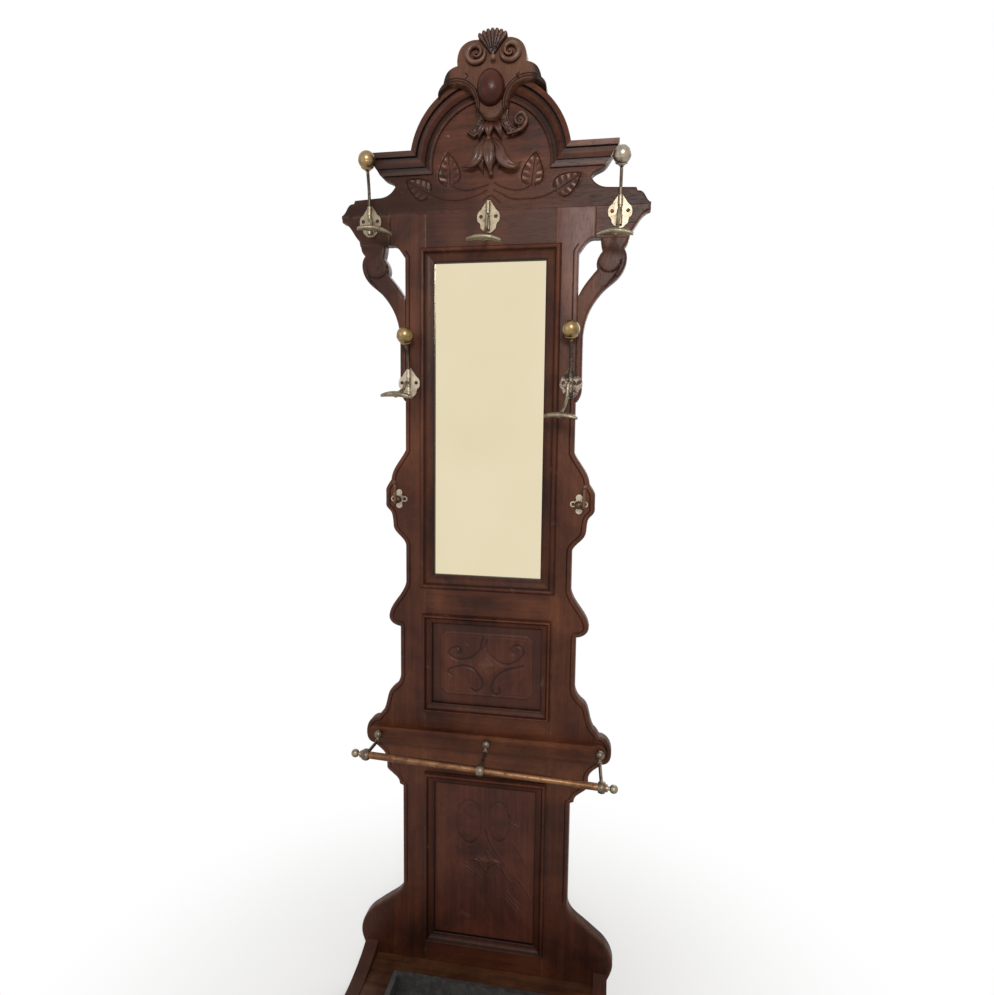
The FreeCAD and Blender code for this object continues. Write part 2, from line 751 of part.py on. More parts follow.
def strap_shape():
    """Flat straps round the foot of each eye: the right one ends in a volute, the left is broken off."""
    start_angle, end_angles, slant_angle = 160, {-1: 262, 1: 266}, 20
    disc_share, tie_share = (0.07, -0.34), (0.0, -0.83)
    pieces = []
    for side, end_angle in end_angles.items():
        eye = (size.strap_spacing / 2, tongue_bottom + size.strap_rise)

        def ring_point(radius, turn):
            angle = math.radians(turn)
            return eye[0] + radius * math.cos(angle), eye[1] + radius * math.sin(angle)
        outer_end = end_angle - slant_angle
        outer = size.strap_radius + size.strap_width
        inner = size.strap_radius
        band = Outline(*ring_point(inner, start_angle))
        band.arc(ring_point(inner, (start_angle + end_angle) / 2), ring_point(inner, end_angle))
        band.line(ring_point(outer, outer_end))
        band.arc(ring_point(outer, (start_angle + outer_end) / 2), ring_point(outer, start_angle)).close()
        piece = slab(band, 0, size.strap_depth, side)
        if side > 0:
            disc_radius = size.strap_disc_radius
            for share, radius in ((disc_share, disc_radius), (tie_share, 0.6 * disc_radius)):
                disc_x, disc_z = (start + part * inner for start, part in zip(eye, share))
                piece = piece.fuse(forward_rod(radius, disc_x, 0, size.strap_depth, disc_z))
        piece.translate(Vector(size.carving_offset, 0, 0))
        pieces.append(piece.cut(cartouche_block).removeSplitter())
    return Part.makeCompound(pieces)


def leaf_outline(foot, tip, half_width_share):
    """A leaf of two arcs from foot to tip."""
    middle = ((foot[0] + tip[0]) / 2, (foot[1] + tip[1]) / 2)
    across = ((foot[1] - tip[1]) * half_width_share, (tip[0] - foot[0]) * half_width_share)
    leaf = Outline(*foot).arc((middle[0] + across[0], middle[1] + across[1]), tip)
    return leaf.arc((middle[0] - across[0], middle[1] - across[1]), foot)


def bellflower_shape():
    """A bud on a stalk over three drooping petals."""
    # foot and tip as shares of the flower, half width as a share of the length, depth as a share
    petal_shares = [((0, 1.0), (0, 0.62), 0.26, 0.8), ((0, 0.68), (0, 0.44), 0.3, 0.7),
                    ((0, 0.55), (0, 0.0), 0.24, 1.0), ((-0.06, 0.56), (-1.0, 0.22), 0.2, 0.8),
                    ((0.06, 0.56), (1.0, 0.22), 0.2, 0.8)]
    bell_bottom = tongue_bottom + size.bell_overlap - size.bell_height
    flower = (size.carving_offset, bell_bottom, size.bell_half_width, size.bell_height)
    petals = []
    for foot, tip, wide, deep in petal_shares:
        leaf = leaf_outline(*in_box([foot, tip], *flower), wide)
        petals.append(slab(leaf, 0, deep * size.bell_depth))
    return petals[0].fuse(petals[1:]).cut(cartouche_block).removeSplitter()


keep(solid("palmette", palmette_shape()), "palmette")
keep(solid("strapwork", strap_shape()), "strapwork")
keep(solid("bellflower_drop", bellflower_shape()), "bellflower_drop")

# Arm blocks and S-shaped braces under the arms
block_foot_shares = [(0.625, 0.0), (0.643, 0.178)]
block_hollow_shares = [(0.795, 0.535), (0.884, 0.721), (1.0, 0.829)]
brace_lip_shares = [(0.971, 0.97), (0.895, 0.938)]
brace_volute_shares = [(0.957, 0.9), (0.962, 0.862), (0.905, 0.807), (0.762, 0.752), (0.562, 0.702),
                       (0.371, 0.636), (0.248, 0.572), (0.162, 0.496), (0.119, 0.377)]
brace_foot_shares = [(0.119, 0.102), (0.095, 0.04), (0.019, 0.0)]
brace_back_shares = [(0.0, 0.0), (0.0, 0.647)]
brace_hollow_shares = [(0.114, 0.714), (0.276, 0.778), (0.381, 0.816)]
brace_eye_shares = [(0.362, 0.839), (0.381, 0.877), (0.476, 0.923)]
brace_neck_shares = [(0.457, 0.943), (0.429, 1.0)]
brace_top_share = 0.99


def block_outline():
    bottom = size.seam_height - size.arm_block_drop
    block = (size.arm_block_inner, bottom, half_width - size.arm_block_inner, size.arm_block_drop)
    outline = Outline(size.arm_block_inner, bottom).line(*in_box(block_foot_shares, *block))
    outline.curve(*in_box(block_hollow_shares, *block))
    return outline.line((half_width, size.seam_height), (size.arm_block_inner, size.seam_height)).close()


def brace_outline():
    top = size.seam_height - size.arm_block_drop
    brace = (size.upper_edge, top - size.brace_height, size.brace_reach, size.brace_height)
    outline = Outline(size.upper_edge + brace_top_share * size.brace_reach, top)
    outline.curve(*in_box(brace_lip_shares, *brace)).curve(*in_box(brace_volute_shares, *brace))
    foot = in_box(brace_foot_shares, *brace)
    outline.line(foot[0]).curve(*foot[1:]).line(*in_box(brace_back_shares, *brace))
    outline.curve(*in_box(brace_hollow_shares, *brace)).curve(*in_box(brace_eye_shares, *brace))
    return outline.curve(*in_box(brace_neck_shares, *brace)).close()


for side_name, side in (("left", -1), ("right", 1)):
    block = padded(side_name + "_arm_board", block_outline(), side, "board_thickness",
                   y="overall_depth / 2")
    holes = [dowel_hole(side_name + "_arm_dowel_hole", f"{side} * {dowel_places['block']}")]
    for screw_side in (-1, 1):
        holes.append(hook_pilot(f"{side_name}_arm_pilot_{screw_side + 1}", "top_" + side_name, screw_side))
    keep(cut(side_name + "_arm_block", block, holes), side_name + "_arm_block")
    brace = padded(side_name + "_brace_board", brace_outline(), side, "brace_thickness",
                   y="overall_depth / 2")
    holes = [hook_pilot(side_name + "_brace_pilot", "middle_" + side_name, side)]
    keep(cut(side_name + "_brace", brace, holes), side_name + "_brace")

# Mirror and panels: mitred mouldings in front, sheets lying in the frame's openings
moulding_shares = [(1.0, 0.35), (0.95, 0.42), (0.92, 0.72), (0.86, 0.92), (0.78, 1.0), (0.7, 0.94),
                   (0.64, 0.72), (0.56, 0.45), (0.44, 0.27), (0.28, 0.16), (0.1, 0.1), (0.0, 0.0)]
openings = {
    # name: rail below, rail above, names of the sight sizes, width of the moulding
    "mirror": ("mirror_rail", "top_rail", "mirror_sight", "mirror_moulding_width"),
    "upper_panel": ("middle_rail", "mirror_rail", "upper_sight", "upper_moulding_width"),
    "lower_panel": ("bottom_rail", "middle_rail", "lower_sight", "lower_moulding_width"),
}


def named(alias):
    return getattr(size, alias)


def rail_top(rail):
    return f"{rails[rail][0]} + {rails[rail][1]}"


def moulding_shape(below, sight, width_name, above):
    """Four mitred lengths of one section, lipped over the sheet inside the opening."""
    wide, low, tall = (named(sight + part) for part in ("_width", "_bottom", "_height"))
    band = named(width_name)
    floor = named(rails[below][0]) + named(rails[below][1])
    gap_sides = (stile_inner - wide / 2, low - floor, named(rails[above][0]) - low - tall)
    lip = min(gap_sides) - size.fit_gap
    steps = [(across * band, out * size.moulding_proud) for across, out in moulding_shares]
    steps += [(0, -size.panel_recess), (lip, -size.panel_recess), (lip, 0), (band, 0)]
    middle = low + tall / 2
    pieces = []
    for turn, along, out in ((0, wide, tall), (90, tall, wide), (180, wide, tall), (270, tall, wide)):
        reach = along / 2 + band
        points = [Vector(-reach, face_y - forward, out / 2 + across) for across, forward in steps]
        length = Part.Face(Part.makePolygon(points + points[:1])).extrude(Vector(2 * reach, 0, 0))
        mitre = Outline(-along / 2, out / 2).line((along / 2, out / 2), (reach, out / 2 + band),
                                                  (-reach, out / 2 + band)).close()
        piece = length.common(slab(mitre, -size.panel_recess, size.moulding_proud))
        piece.rotate(Vector(), Vector(0, 1, 0), turn)
        piece.translate(Vector(0, 0, middle))
        pieces.append(piece)
    return Part.makeCompound(pieces)


def sheet_in_opening(name, below, above, thickness, behind):
    """A flat sheet resting on the rail below, with play at the sides and above."""
    height = f"{rails[above][0]} - ({rail_top(below)}) - panel_play"
    return keep(box(name, "frame_opening - 2 * panel_play", thickness, height,
                    "-frame_opening / 2 + panel_play", f"{face_formula} + panel_recess + {behind}",
                    rail_top(below)), name)


for opening, (below, above, sight, width_name) in openings.items():
    moulding = opening + "_moulding"
    keep(solid(moulding, moulding_shape(below, sight, width_name, above)), moulding)
    if opening != "mirror":
        sheet_in_opening(opening, below, above, "panel_thickness", "0")
sheet_in_opening("mirror_glass", "mirror_rail", "top_rail", "glass_thickness", "0")
sheet_in_opening("mirror_backboard", "mirror_rail", "top_rail", "backboard_thickness", "glass_thickness")

# Umbrella rail: apron board, three brackets, a tube and a finial at each end
steps = {"left": -1, "centre": 0, "right": 1}


def apron_outline():
    round_share = 0.4
    half, low, tall = size.apron_width / 2, size.apron_bottom, size.apron_height
    end = round_share * tall
    outline = Outline(0, low).line((half - end, low)).arc((half, low + tall / 2), (half - end, low + tall))
    return outline.line((0, low + tall)).mirror_back()


apron = padded("apron_plank", apron_outline(), 1, "apron_thickness", y=face_formula)
keep(cut("apron_board", apron, [bracket_hole(f"apron_{name}_hole", step) for name, step in steps.items()]),
     "apron_board")
rail_place = Placement(place(size.rail_offset, size.rail_forward, size.rail_height),
                       Rotation(Vector(0, 1, 0), size.rail_tilt))


def along_rail(radius, start, length):
    """A cylinder on the rail's own axis."""
    rod = Part.makeCylinder(radius, length, Vector(start, 0, 0), Vector(1, 0, 0))
    rod.Placement = rail_place
    return rod


def bracket_shape(step):
    eye_x = step * size.eye_spread
    eye = rail_place.multVec(Vector(eye_x, 0, 0))
    x = size.bracket_offset + step * size.bracket_spread
    knob_out = size.apron_thickness + size.knob_forward
    knob = place(x, knob_out, size.bracket_height)
    elbow = place(x, size.apron_thickness + size.bracket_elbow_forward,
                  size.bracket_height - size.bracket_elbow_drop)
    stem = pipe(rounded_path([knob, elbow, eye], 0.4), size.bracket_stem_radius)
    tail = forward_rod(size.bracket_stem_radius, x, size.apron_thickness - size.bracket_tail, knob_out,
                       size.bracket_height)
    flange = forward_rod(size.bracket_flange_radius, x, size.apron_thickness, knob_out, size.bracket_height)
    ball = Part.makeSphere(size.knob_radius, knob)
    bulge = Part.makeSphere(size.bracket_bulge_radius, elbow)
    ring_radius = size.rail_radius + size.fit_gap + size.eye_wall
    ring = along_rail(ring_radius, eye_x - size.eye_length / 2, size.eye_length)
    ring = ring.common(Part.makeSphere(ring_radius, eye))
    bore = along_rail(size.rail_radius + size.fit_gap, eye_x - size.eye_length, 2 * size.eye_length)
    return tail.fuse([flange, ball, stem, bulge, ring]).cut(bore).removeSplitter()


for name, step in steps.items():
    keep(solid(name + "_rail_bracket", bracket_shape(step)), name + "_rail_bracket")
tube = along_rail(size.rail_radius, -size.rail_length / 2, size.rail_length)
hollow = along_rail(size.rail_radius - size.rail_wall, -size.rail_length / 2, size.rail_length)
keep(solid("umbrella_rail", tube.cut(hollow)), "umbrella_rail")


def finial_shape(side):
    """A button closing the tube, a neck and a ball."""
    button_share, ball_share = 0.4, 0.8
    end, along = Vector(size.rail_length / 2, 0, 0), Vector(1, 0, 0)
    ball_centre = end + along * (size.finial_neck + ball_share * size.finial_radius)
    ball = Part.makeSphere(size.finial_radius, ball_centre)
    button = Part.makeCylinder(size.rail_radius, button_share * size.finial_neck, end, along)
    neck_length = size.finial_neck + size.finial_radius / 2
    neck = Part.makeCylinder(size.finial_neck_radius, neck_length, end, along)
    shape = button.fuse([neck, ball]).removeSplitter()
    if side < 0:
        shape.rotate(Vector(), Vector(0, 0, 1), 180)
    shape.Placement = rail_place.multiply(shape.Placement)
    return shape


keep(solid("rail_finials", Part.makeCompound([finial_shape(-1), finial_shape(1)])), "rail_finials")

# Base: two cheeks, a tray with a front board under it and a drip pan hung by its rim
cheek_top_shares = [(0.11, 0.91), (0.29, 0.83), (0.62, 0.83), (0.82, 0.9), (0.93, 0.87)]
cheek_nose_shares = [(0.98, 0.78), (0.995, 0.64)]
cheek_front_shares = [(0.97, 0.45), (0.957, 0.3), (0.97, 0.17), (1.0, 0.1)]


def cheek_outline():
    depth = size.overall_depth - size.board_thickness
    side_box = (face_y, 0, -depth, size.cheek_height)
    outline = Outline(face_y, size.cheek_height).curve(*in_box(cheek_top_shares, *side_box))
    outline.curve(*in_box(cheek_nose_shares, *side_box)).curve(*in_box(cheek_front_shares, *side_box))
    return outline.line((face_y - depth, 0), (face_y, 0)).close()


for side_name, start in (("left", "-tray_width / 2 - cheek_thickness"), ("right", "tray_width / 2")):
    keep(padded(side_name + "_cheek", cheek_outline(), 1, "cheek_thickness", x=start, plane="YZ_Plane"),
         side_name + "_cheek")
pan_x = "-pan_length / 2"
pan_y = f"{face_formula} - pan_forward - pan_width / 2"
tray = box("tray_plank", "tray_width", "tray_depth", "tray_thickness", "-tray_width / 2",
           face_formula + " - tray_depth", "tray_height - tray_thickness")
well = box("tray_well", "pan_length + 2 * pan_clearance", "pan_width + 2 * pan_clearance",
           "tray_thickness + 2 * cut_overrun", pan_x + " - pan_clearance", pan_y + " - pan_clearance",
           "tray_height - tray_thickness - cut_overrun")
keep(cut("tray_board", tray, [well]), "tray_board")
keep(box("front_board", "tray_width", "front_board_thickness", "tray_height - tray_thickness",
         "-tray_width / 2", face_formula + " - tray_depth", "0"), "front_board")
rim = box("pan_rim_sheet", "pan_length + 2 * pan_rim", "pan_width + 2 * pan_rim", "pan_wall",
          pan_x + " - pan_rim", pan_y + " - pan_rim", "tray_height")
bowl = box("pan_bowl", "pan_length", "pan_width", "pan_depth", pan_x, pan_y, "tray_height - pan_depth")
inside = box("pan_inside", "pan_length - 2 * pan_wall", "pan_width - 2 * pan_wall",
             "pan_depth + cut_overrun",
             pan_x + " + pan_wall", pan_y + " + pan_wall", "tray_height - pan_depth + pan_wall")
keep(cut("drip_pan", fuse("pan_body", [rim, bowl]), [inside]), "drip_pan")

# Swivel hooks: plate with a ridge, pin, swinging arm and fixed ball prong
plate_shares = [[(0.13, 0.99)], [(0.36, 0.75), (0.56, 0.54)],
                [(0.66, 0.42), (0.88, 0.28), (0.985, 0.1), (1.0, -0.1), (0.95, -0.28), (0.8, -0.38)],
                [(0.71, -0.52), (0.68, -0.7)], [(0.48, -0.86), (0.24, -1.0)], [(0.0, -1.0)]]
ridge_share = 0.86


def plate_outline():
    half = (size.hook_plate_width / 2, size.hook_plate_height / 2)
    outline = Outline(0, half[1])
    for lobe in plate_shares:
        outline.curve(*in_box(lobe, 0, 0, *half))
    return outline.mirror_back()


def hook_point(name):
    """The middle of a hook's plate on the boards' face."""
    across, height = hooks[name][2:]
    return place(across, 0, height)


window = size.barrel_length / 2 + size.barrel_end_gap
ridge_top = ridge_share * size.hook_plate_height / 2


def upright_rod(radius, bottom, top, out=size.pin_forward):
    """A vertical rod of a hook, set by its distance forward of the face."""
    return Part.makeCylinder(radius, top - bottom, Vector(0, -out, bottom))


def hook_plate_shape():
    back = slab(plate_outline(), 0, size.hook_plate_thickness)
    back.translate(Vector(0, -face_y, 0))
    ridge = upright_rod(size.ridge_radius, -ridge_top, ridge_top)
    reach = size.pin_forward + size.ridge_radius
    web = Part.makeBox(2 * size.barrel_radius, size.pin_forward, 2 * ridge_top,
                       Vector(-size.barrel_radius, -size.pin_forward, -ridge_top))
    gap = Part.makeBox(4 * size.ridge_radius, reach, 2 * window,
                       Vector(-2 * size.ridge_radius, -size.hook_plate_thickness - reach, -window))
    bore_end = window + size.lug_length
    bore = upright_rod(size.pin_radius + size.pin_running_gap / 2, -bore_end, bore_end)
    shape = back.fuse([ridge, web]).cut(gap).cut(bore)
    for side in (-1, 1):
        hole_start = Vector(side * size.hook_screw_spacing / 2, size.cut_overrun, 0)
        hole = Part.makeCylinder(size.screw_head_radius + size.fit_gap, 2 * size.hook_plate_thickness,
                                 hole_start, Vector(0, -1, 0))
        shape = shape.cut(hole)
    return shape.removeSplitter()


def bar_shape(drop):
    """An arched saddle across the tip of an arm: oval sections, its ends drooping and drawn back."""
    stations, end_share = [-1, -0.85, -0.5, 0, 0.5, 0.85, 1], 0.85
    rings = []
    for share in stations:
        slim = math.sqrt(1 - (end_share * share) ** 2)
        centre = Vector(share * size.bar_length / 2, size.bar_bow * share ** 2 - size.arm_reach_out,
                        -drop - size.bar_droop * share ** 2)
        forward = centre - Vector(0, slim * size.bar_depth / 2, 0)
        above = centre + Vector(0, 0, slim * size.bar_height / 2)
        rings.append(Part.Wire([Part.Ellipse(forward, above, centre).toShape()]))
    bar = Part.makeLoft(rings, True)
    bar.rotate(Vector(0, 0, -drop), Vector(0, 1, 0), size.bar_roll)
    return bar


def hook_arm_shape(drop):
    """The swinging arm about its own pin: barrel, bent stem, bar and lug."""
    elbow_shares = [(0.24, 0.0), (0.4, -0.62)]
    path = [Vector()]
    path += [Vector(0, -out * size.arm_reach_out, up * drop) for out, up in elbow_shares]
    path.append(Vector(0, -size.arm_reach_out, -drop))
    barrel = upright_rod(size.barrel_radius, -size.barrel_length / 2, size.barrel_length / 2, 0)
    bore = upright_rod(size.pin_radius + size.pin_running_gap, -size.barrel_length, size.barrel_length, 0)
    lug = Part.makeSphere(size.arm_lug_radius, Vector(0, -size.arm_reach_out, -drop - size.arm_lug_drop))
    stem = pipe(rounded_path(path, 0.45), size.arm_radius)
    return barrel.fuse([stem, bar_shape(drop), lug]).cut(bore).removeSplitter()


def prong_shape(rise, lean_across):
    """A rod from the top of the ridge, bent forward, with a ball on its end."""
    straight_share, neck_start, neck_end = 0.35, 1.35, 0.8
    foot = Vector(0, -size.pin_forward, ridge_top)
    elbow = foot + Vector(0, 0, straight_share * (rise - ridge_top))
    ball = Vector(lean_across, -size.pin_forward - size.prong_forward, rise)
    lean = (ball - elbow).normalize()
    neck = Part.makeCone(size.prong_radius, math.sqrt(1 - neck_end ** 2) * size.ball_radius,
                         (neck_start - neck_end) * size.ball_radius,
                         ball - lean * neck_start * size.ball_radius, lean)
    stem = pipe(rounded_path([foot, elbow, ball], 0.45), size.prong_radius)
    return stem.fuse([neck, Part.makeSphere(size.ball_radius, ball)]).removeSplitter()


hook_pins = []
for name in hooks:
    point = hook_point(name)
    plate_at = Placement(point, Rotation())
    keep(solid(name + "_hook_plate", hook_plate_shape(), plate_at), name + "_hook_plate")
    pin_point = point + Vector(0, -size.pin_forward, 0)
    turn = Rotation(Vector(0, 0, 1), named(name + "_turn"))
    keep(solid(name + "_hook_arm", hook_arm_shape(named(name + "_drop")), Placement(pin_point, turn)),
         name + "_hook_arm")
    if name != "centre":
        prong = prong_shape(named(name + "_rise"), named(name + "_lean"))
        keep(solid(name + "_ball_prong", prong, plate_at), name + "_ball_prong")
    pin = upright_rod(size.pin_radius, -window - size.lug_length, window + size.lug_length, 0)
    pin.translate(pin_point)
    hook_pins.append(pin)
keep(solid("hook_pins", Part.makeCompound(hook_pins)), "hook_pins")

# Small fixed hooks: a four-lobed plate, a peg with a round knob and a leaning prong
def peg_plate_shape():
    thick = size.peg_plate_thickness
    shape = Part.makeCylinder(size.peg_plate_radius, thick, Vector(), Vector(0, -1, 0))
    for side in (-1, 1):
        lobe = Vector(0, 0, side * size.peg_lobe_offset)
        shape = shape.fuse(Part.makeCylinder(size.peg_lobe_radius, thick, lobe, Vector(0, -1, 0)))
        lobe = Vector(side * size.peg_side_offset, 0, 0)
        shape = shape.fuse(Part.makeCylinder(size.peg_side_radius, thick, lobe, Vector(0, -1, 0)))
    for side in (-1, 1):
        hole_start = Vector(side * size.peg_side_offset, thick, 0)
        shape = shape.cut(Part.makeCylinder(size.screw_head_radius + size.fit_gap, 3 * thick, hole_start,
                                            Vector(0, -1, 0)))
    return shape.removeSplitter()


def peg_shape(lean):
    start = size.peg_plate_thickness
    knob = Vector(0, -size.peg_knob_forward, 0)
    tip = Vector(lean, -size.peg_prong_forward, size.peg_prong_rise)
    elbow = Vector(lean, -size.peg_prong_forward, -size.peg_prong_drop)
    stem = Part.makeCylinder(size.peg_stem_radius, size.peg_knob_forward - start, Vector(0, -start, 0),
                             Vector(0, -1, 0))
    prong = pipe(rounded_path([knob, elbow, tip], 0.4), size.peg_prong_radius)
    ends = [Part.makeSphere(size.peg_knob_radius, knob), Part.makeSphere(size.peg_tip_radius, tip)]
    return stem.fuse([prong] + ends).removeSplitter()


for side_name, side in (("left", -1), ("right", 1)):
    at = Placement(place(side * size.peg_spread, 0, size.peg_height), Rotation())
    keep(solid(side_name + "_peg_plate", peg_plate_shape(), at), side_name + "_peg_plate")
    keep(solid(side_name + "_peg", peg_shape(named(side_name + "_peg_lean")), at), side_name + "_peg")

# Fasteners: one screw in every plate hole, dowels across the seam under the crest
def screw_at(x, z):
    """A round-headed screw whose head sits in the plate's hole against the wood."""
    head = forward_rod(size.screw_head_radius, x, 0, size.screw_head_height, z)
    shank = forward_rod(size.screw_shank_radius, x, -size.screw_length, 0, z)
    return head.fuse(shank)


screws = []
for screw_side in (-1, 1):
    for name in hooks:
        middle = hook_point(name)
        screws.append(screw_at(middle.x + screw_side * size.hook_screw_spacing / 2, middle.z))
    for side in (-1, 1):
        screws.append(screw_at(side * size.peg_spread + screw_side * size.peg_side_offset, size.peg_height))
keep(solid("hook_screws", Part.makeCompound(screws)), "hook_screws")
dowels = []
for x in (stile_inner / 2, size.upper_edge, top_hook_x):
    for side in (-1, 1):
        middle_y = back_y - size.board_thickness / 2
        dowels.append(Part.makeCylinder(size.dowel_radius, 2 * size.dowel_depth,
                                        Vector(side * x, middle_y, size.seam_height - size.dowel_depth)))
keep(solid("crest_dowels", Part.makeCompound(dowels)), "crest_dowels")

# Check every object, then write one file for each sub-part
doc.recompute()
faulty = [item.Name for item in doc.Objects if {"Invalid", "Error"} & set(item.State)]
faulty += [item.Label for item in nodes if item.Shape.isNull() or not item.Shape.isValid()]
if faulty:
    raise RuntimeError("faulty objects: " + ", ".join(faulty))
os.makedirs("parts", exist_ok=True)
for item in nodes:
    item.Shape.exportStep(f"parts/{item.Label}.step")
print(len(nodes), "sub-parts written")
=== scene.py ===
import math

import bpy
import numpy as np
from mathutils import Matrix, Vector
from mathutils.geometry import delaunay_2d_cdt


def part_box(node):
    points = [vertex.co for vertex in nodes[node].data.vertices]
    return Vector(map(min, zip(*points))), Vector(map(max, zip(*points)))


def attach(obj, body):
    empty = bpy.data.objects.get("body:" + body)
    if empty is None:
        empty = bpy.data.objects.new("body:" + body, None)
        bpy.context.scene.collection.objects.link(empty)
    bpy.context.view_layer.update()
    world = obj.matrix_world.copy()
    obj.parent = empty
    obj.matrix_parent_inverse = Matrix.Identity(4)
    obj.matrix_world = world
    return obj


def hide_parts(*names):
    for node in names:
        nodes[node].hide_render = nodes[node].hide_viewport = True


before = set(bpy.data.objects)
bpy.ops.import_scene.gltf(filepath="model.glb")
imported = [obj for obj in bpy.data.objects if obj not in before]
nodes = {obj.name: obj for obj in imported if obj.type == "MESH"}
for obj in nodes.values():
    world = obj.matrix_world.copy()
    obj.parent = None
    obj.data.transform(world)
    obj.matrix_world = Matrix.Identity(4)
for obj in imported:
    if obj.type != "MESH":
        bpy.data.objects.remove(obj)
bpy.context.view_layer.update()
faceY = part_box("top_rail")[0].y * 1000   # front of the flat boards, in mm
print("frame loaded:", len(nodes), "nodes, boards' face at", round(faceY, 1), "mm")


# a node socket that takes part in plain expressions
class Wire:
    def __init__(self, finish, socket):
        self.finish = finish
        self.socket = socket

    def join(self, operation, first, second):
        return self.finish.maths(operation, first, second)

    def __add__(self, other):
        return self.join("ADD", self, other)

    def __radd__(self, other):
        return self.join("ADD", other, self)

    def __sub__(self, other):
        return self.join("SUBTRACT", self, other)

    def __rsub__(self, other):
        return self.join("SUBTRACT", other, self)

    def __mul__(self, other):
        return self.join("MULTIPLY", self, other)

    def __rmul__(self, other):
        return self.join("MULTIPLY", other, self)


# the nodes of a material or of the world
class Finish:
    def __init__(self, owner):
        self.owner = owner
        owner.use_nodes = True
        self.tree = owner.node_tree
        self.tree.nodes.clear()
        self.place = self.node("ShaderNodeTexCoord", {}, {}, "Object")

    # any node: its type, its settings first, then the values or links of its sockets
    def node(self, kind, settings, sockets, out=0):
        made = self.tree.nodes.new(kind)
        for key, value in settings.items():
            if key == "stops":
                stops = made.color_ramp.elements
                stops[0].position, stops[-1].position = value[0][0], value[-1][0]
                for spot, colour in value[1:-1]:
                    stops.new(spot)
                for stop, (spot, colour) in zip(stops, value):
                    stop.color = (*colour, 1)
            else:
                setattr(made, key, value)
        for key, value in sockets.items():
            if isinstance(value, Wire):
                self.tree.links.new(value.socket, made.inputs[key])
            elif made.inputs[key].type == "RGBA":
                made.inputs[key].default_value = (*value, 1)
            else:
                made.inputs[key].default_value = value
        return Wire(self, made.outputs[out]) if len(made.outputs) else None

    def maths(self, operation, *values):
        return self.node("ShaderNodeMath", {"operation": operation}, dict(enumerate(values)))

    def stretched(self, scale):
        return self.node("ShaderNodeMapping", {}, {"Vector": self.place, "Scale": scale})

    def noise(self, scale, detail, roughness, distortion=0.0, place=None):
        return self.node("ShaderNodeTexNoise", {}, {"Vector": place or self.place, "Scale": scale, "Detail": detail,
                                                    "Roughness": roughness, "Distortion": distortion})

    # 0 below low, 1 above high, smooth between
    def step(self, value, low, high):
        return self.node("ShaderNodeMapRange", {"interpolation_type": "SMOOTHSTEP"},
                         {"Value": value, "From Min": low, "From Max": high})

    def mix(self, share, first, second, blend="MIX"):
        return self.node("ShaderNodeMix", {"data_type": "RGBA", "blend_type": blend},
                         {0: share, 6: first, 7: second}, 2)

    def ramp(self, value, *stops):
        return self.node("ShaderNodeValToRGB", {"stops": stops}, {"Fac": value})

    def axis(self, name):
        return self.node("ShaderNodeSeparateXYZ", {}, {"Vector": self.place}, name)

    def mark(self, name):
        return self.node("ShaderNodeAttribute", {"attribute_name": name}, {}, "Fac")

    def bump(self, height, strength, distance):
        return self.node("ShaderNodeBump", {}, {"Height": height, "Strength": strength, "Distance": distance})

    # 1 for rays straight from the camera, off a mirror or through glass
    def seen(self):
        rays = [self.node("ShaderNodeLightPath", {}, {}, name)
                for name in ("Is Camera Ray", "Is Glossy Ray", "Is Transmission Ray")]
        return rays[0] + rays[1] + rays[2]

    def close(self, sockets):
        shader = self.node("ShaderNodeBsdfPrincipled", {}, sockets)
        self.node("ShaderNodeOutputMaterial", {}, {"Surface": shader})
        return self.owner


# stained wood: long streaks along the grain, dark pores, worn edges, dirt and painted shade in the cuts, painted shade
# near the floor and in the upper left corner; a moulding's bands get painted shade and highlights by their share of
# its width
woodLook = {
    "dark": (0.024, 0.0066, 0.0034), "middle": (0.062, 0.0178, 0.0076), "light": (0.116, 0.0370, 0.0140),
    "worn": (0.190, 0.090, 0.050), "dirtAndShade": (0.009, 0.0040, 0.0026), "grey": (0.088, 0.041, 0.028),
    "paintedSheen": (0.30, 0.185, 0.155), "low": (0.62, 0.56, 0.52),
    "streaks": 85, "pores": 950, "patches": 5.0, "rub": 70, "specks": 150, "scuffMarks": 24,   # scales of the noises
    "tone": (0.4, 0.95, 0.175), "stops": (0.32, 0.5, 0.72),   # streaks, patches and shift; where the colours stand
    "hazeRise": (1.1, 2.1), "floorShadeRise": (0.05, 1.0),   # heights in metres
    # wing and arm: the rise and run of the painted shade in the upper left corner
    "wing": ((1.86, 1.93), (-0.06, -0.2)), "arm": ((1.5, 1.6), (-0.205, -0.235)),   # the dark corner's rise and run
    "corner": 0.75, "sheenStrength": 0.6, "filled": 0.35, "rubbed": 0.75, "speckled": 0.45, "scuffs": 0.06,   # strengths
    "roughness": 0.33, "specular": 0.17, "bump": (0.35, 0.0006),
}
grains = {"up": (1, 1, 0.05), "across": (0.05, 1, 1), "forward": (1, 0.05, 1)}   # noise drawn out along the grain


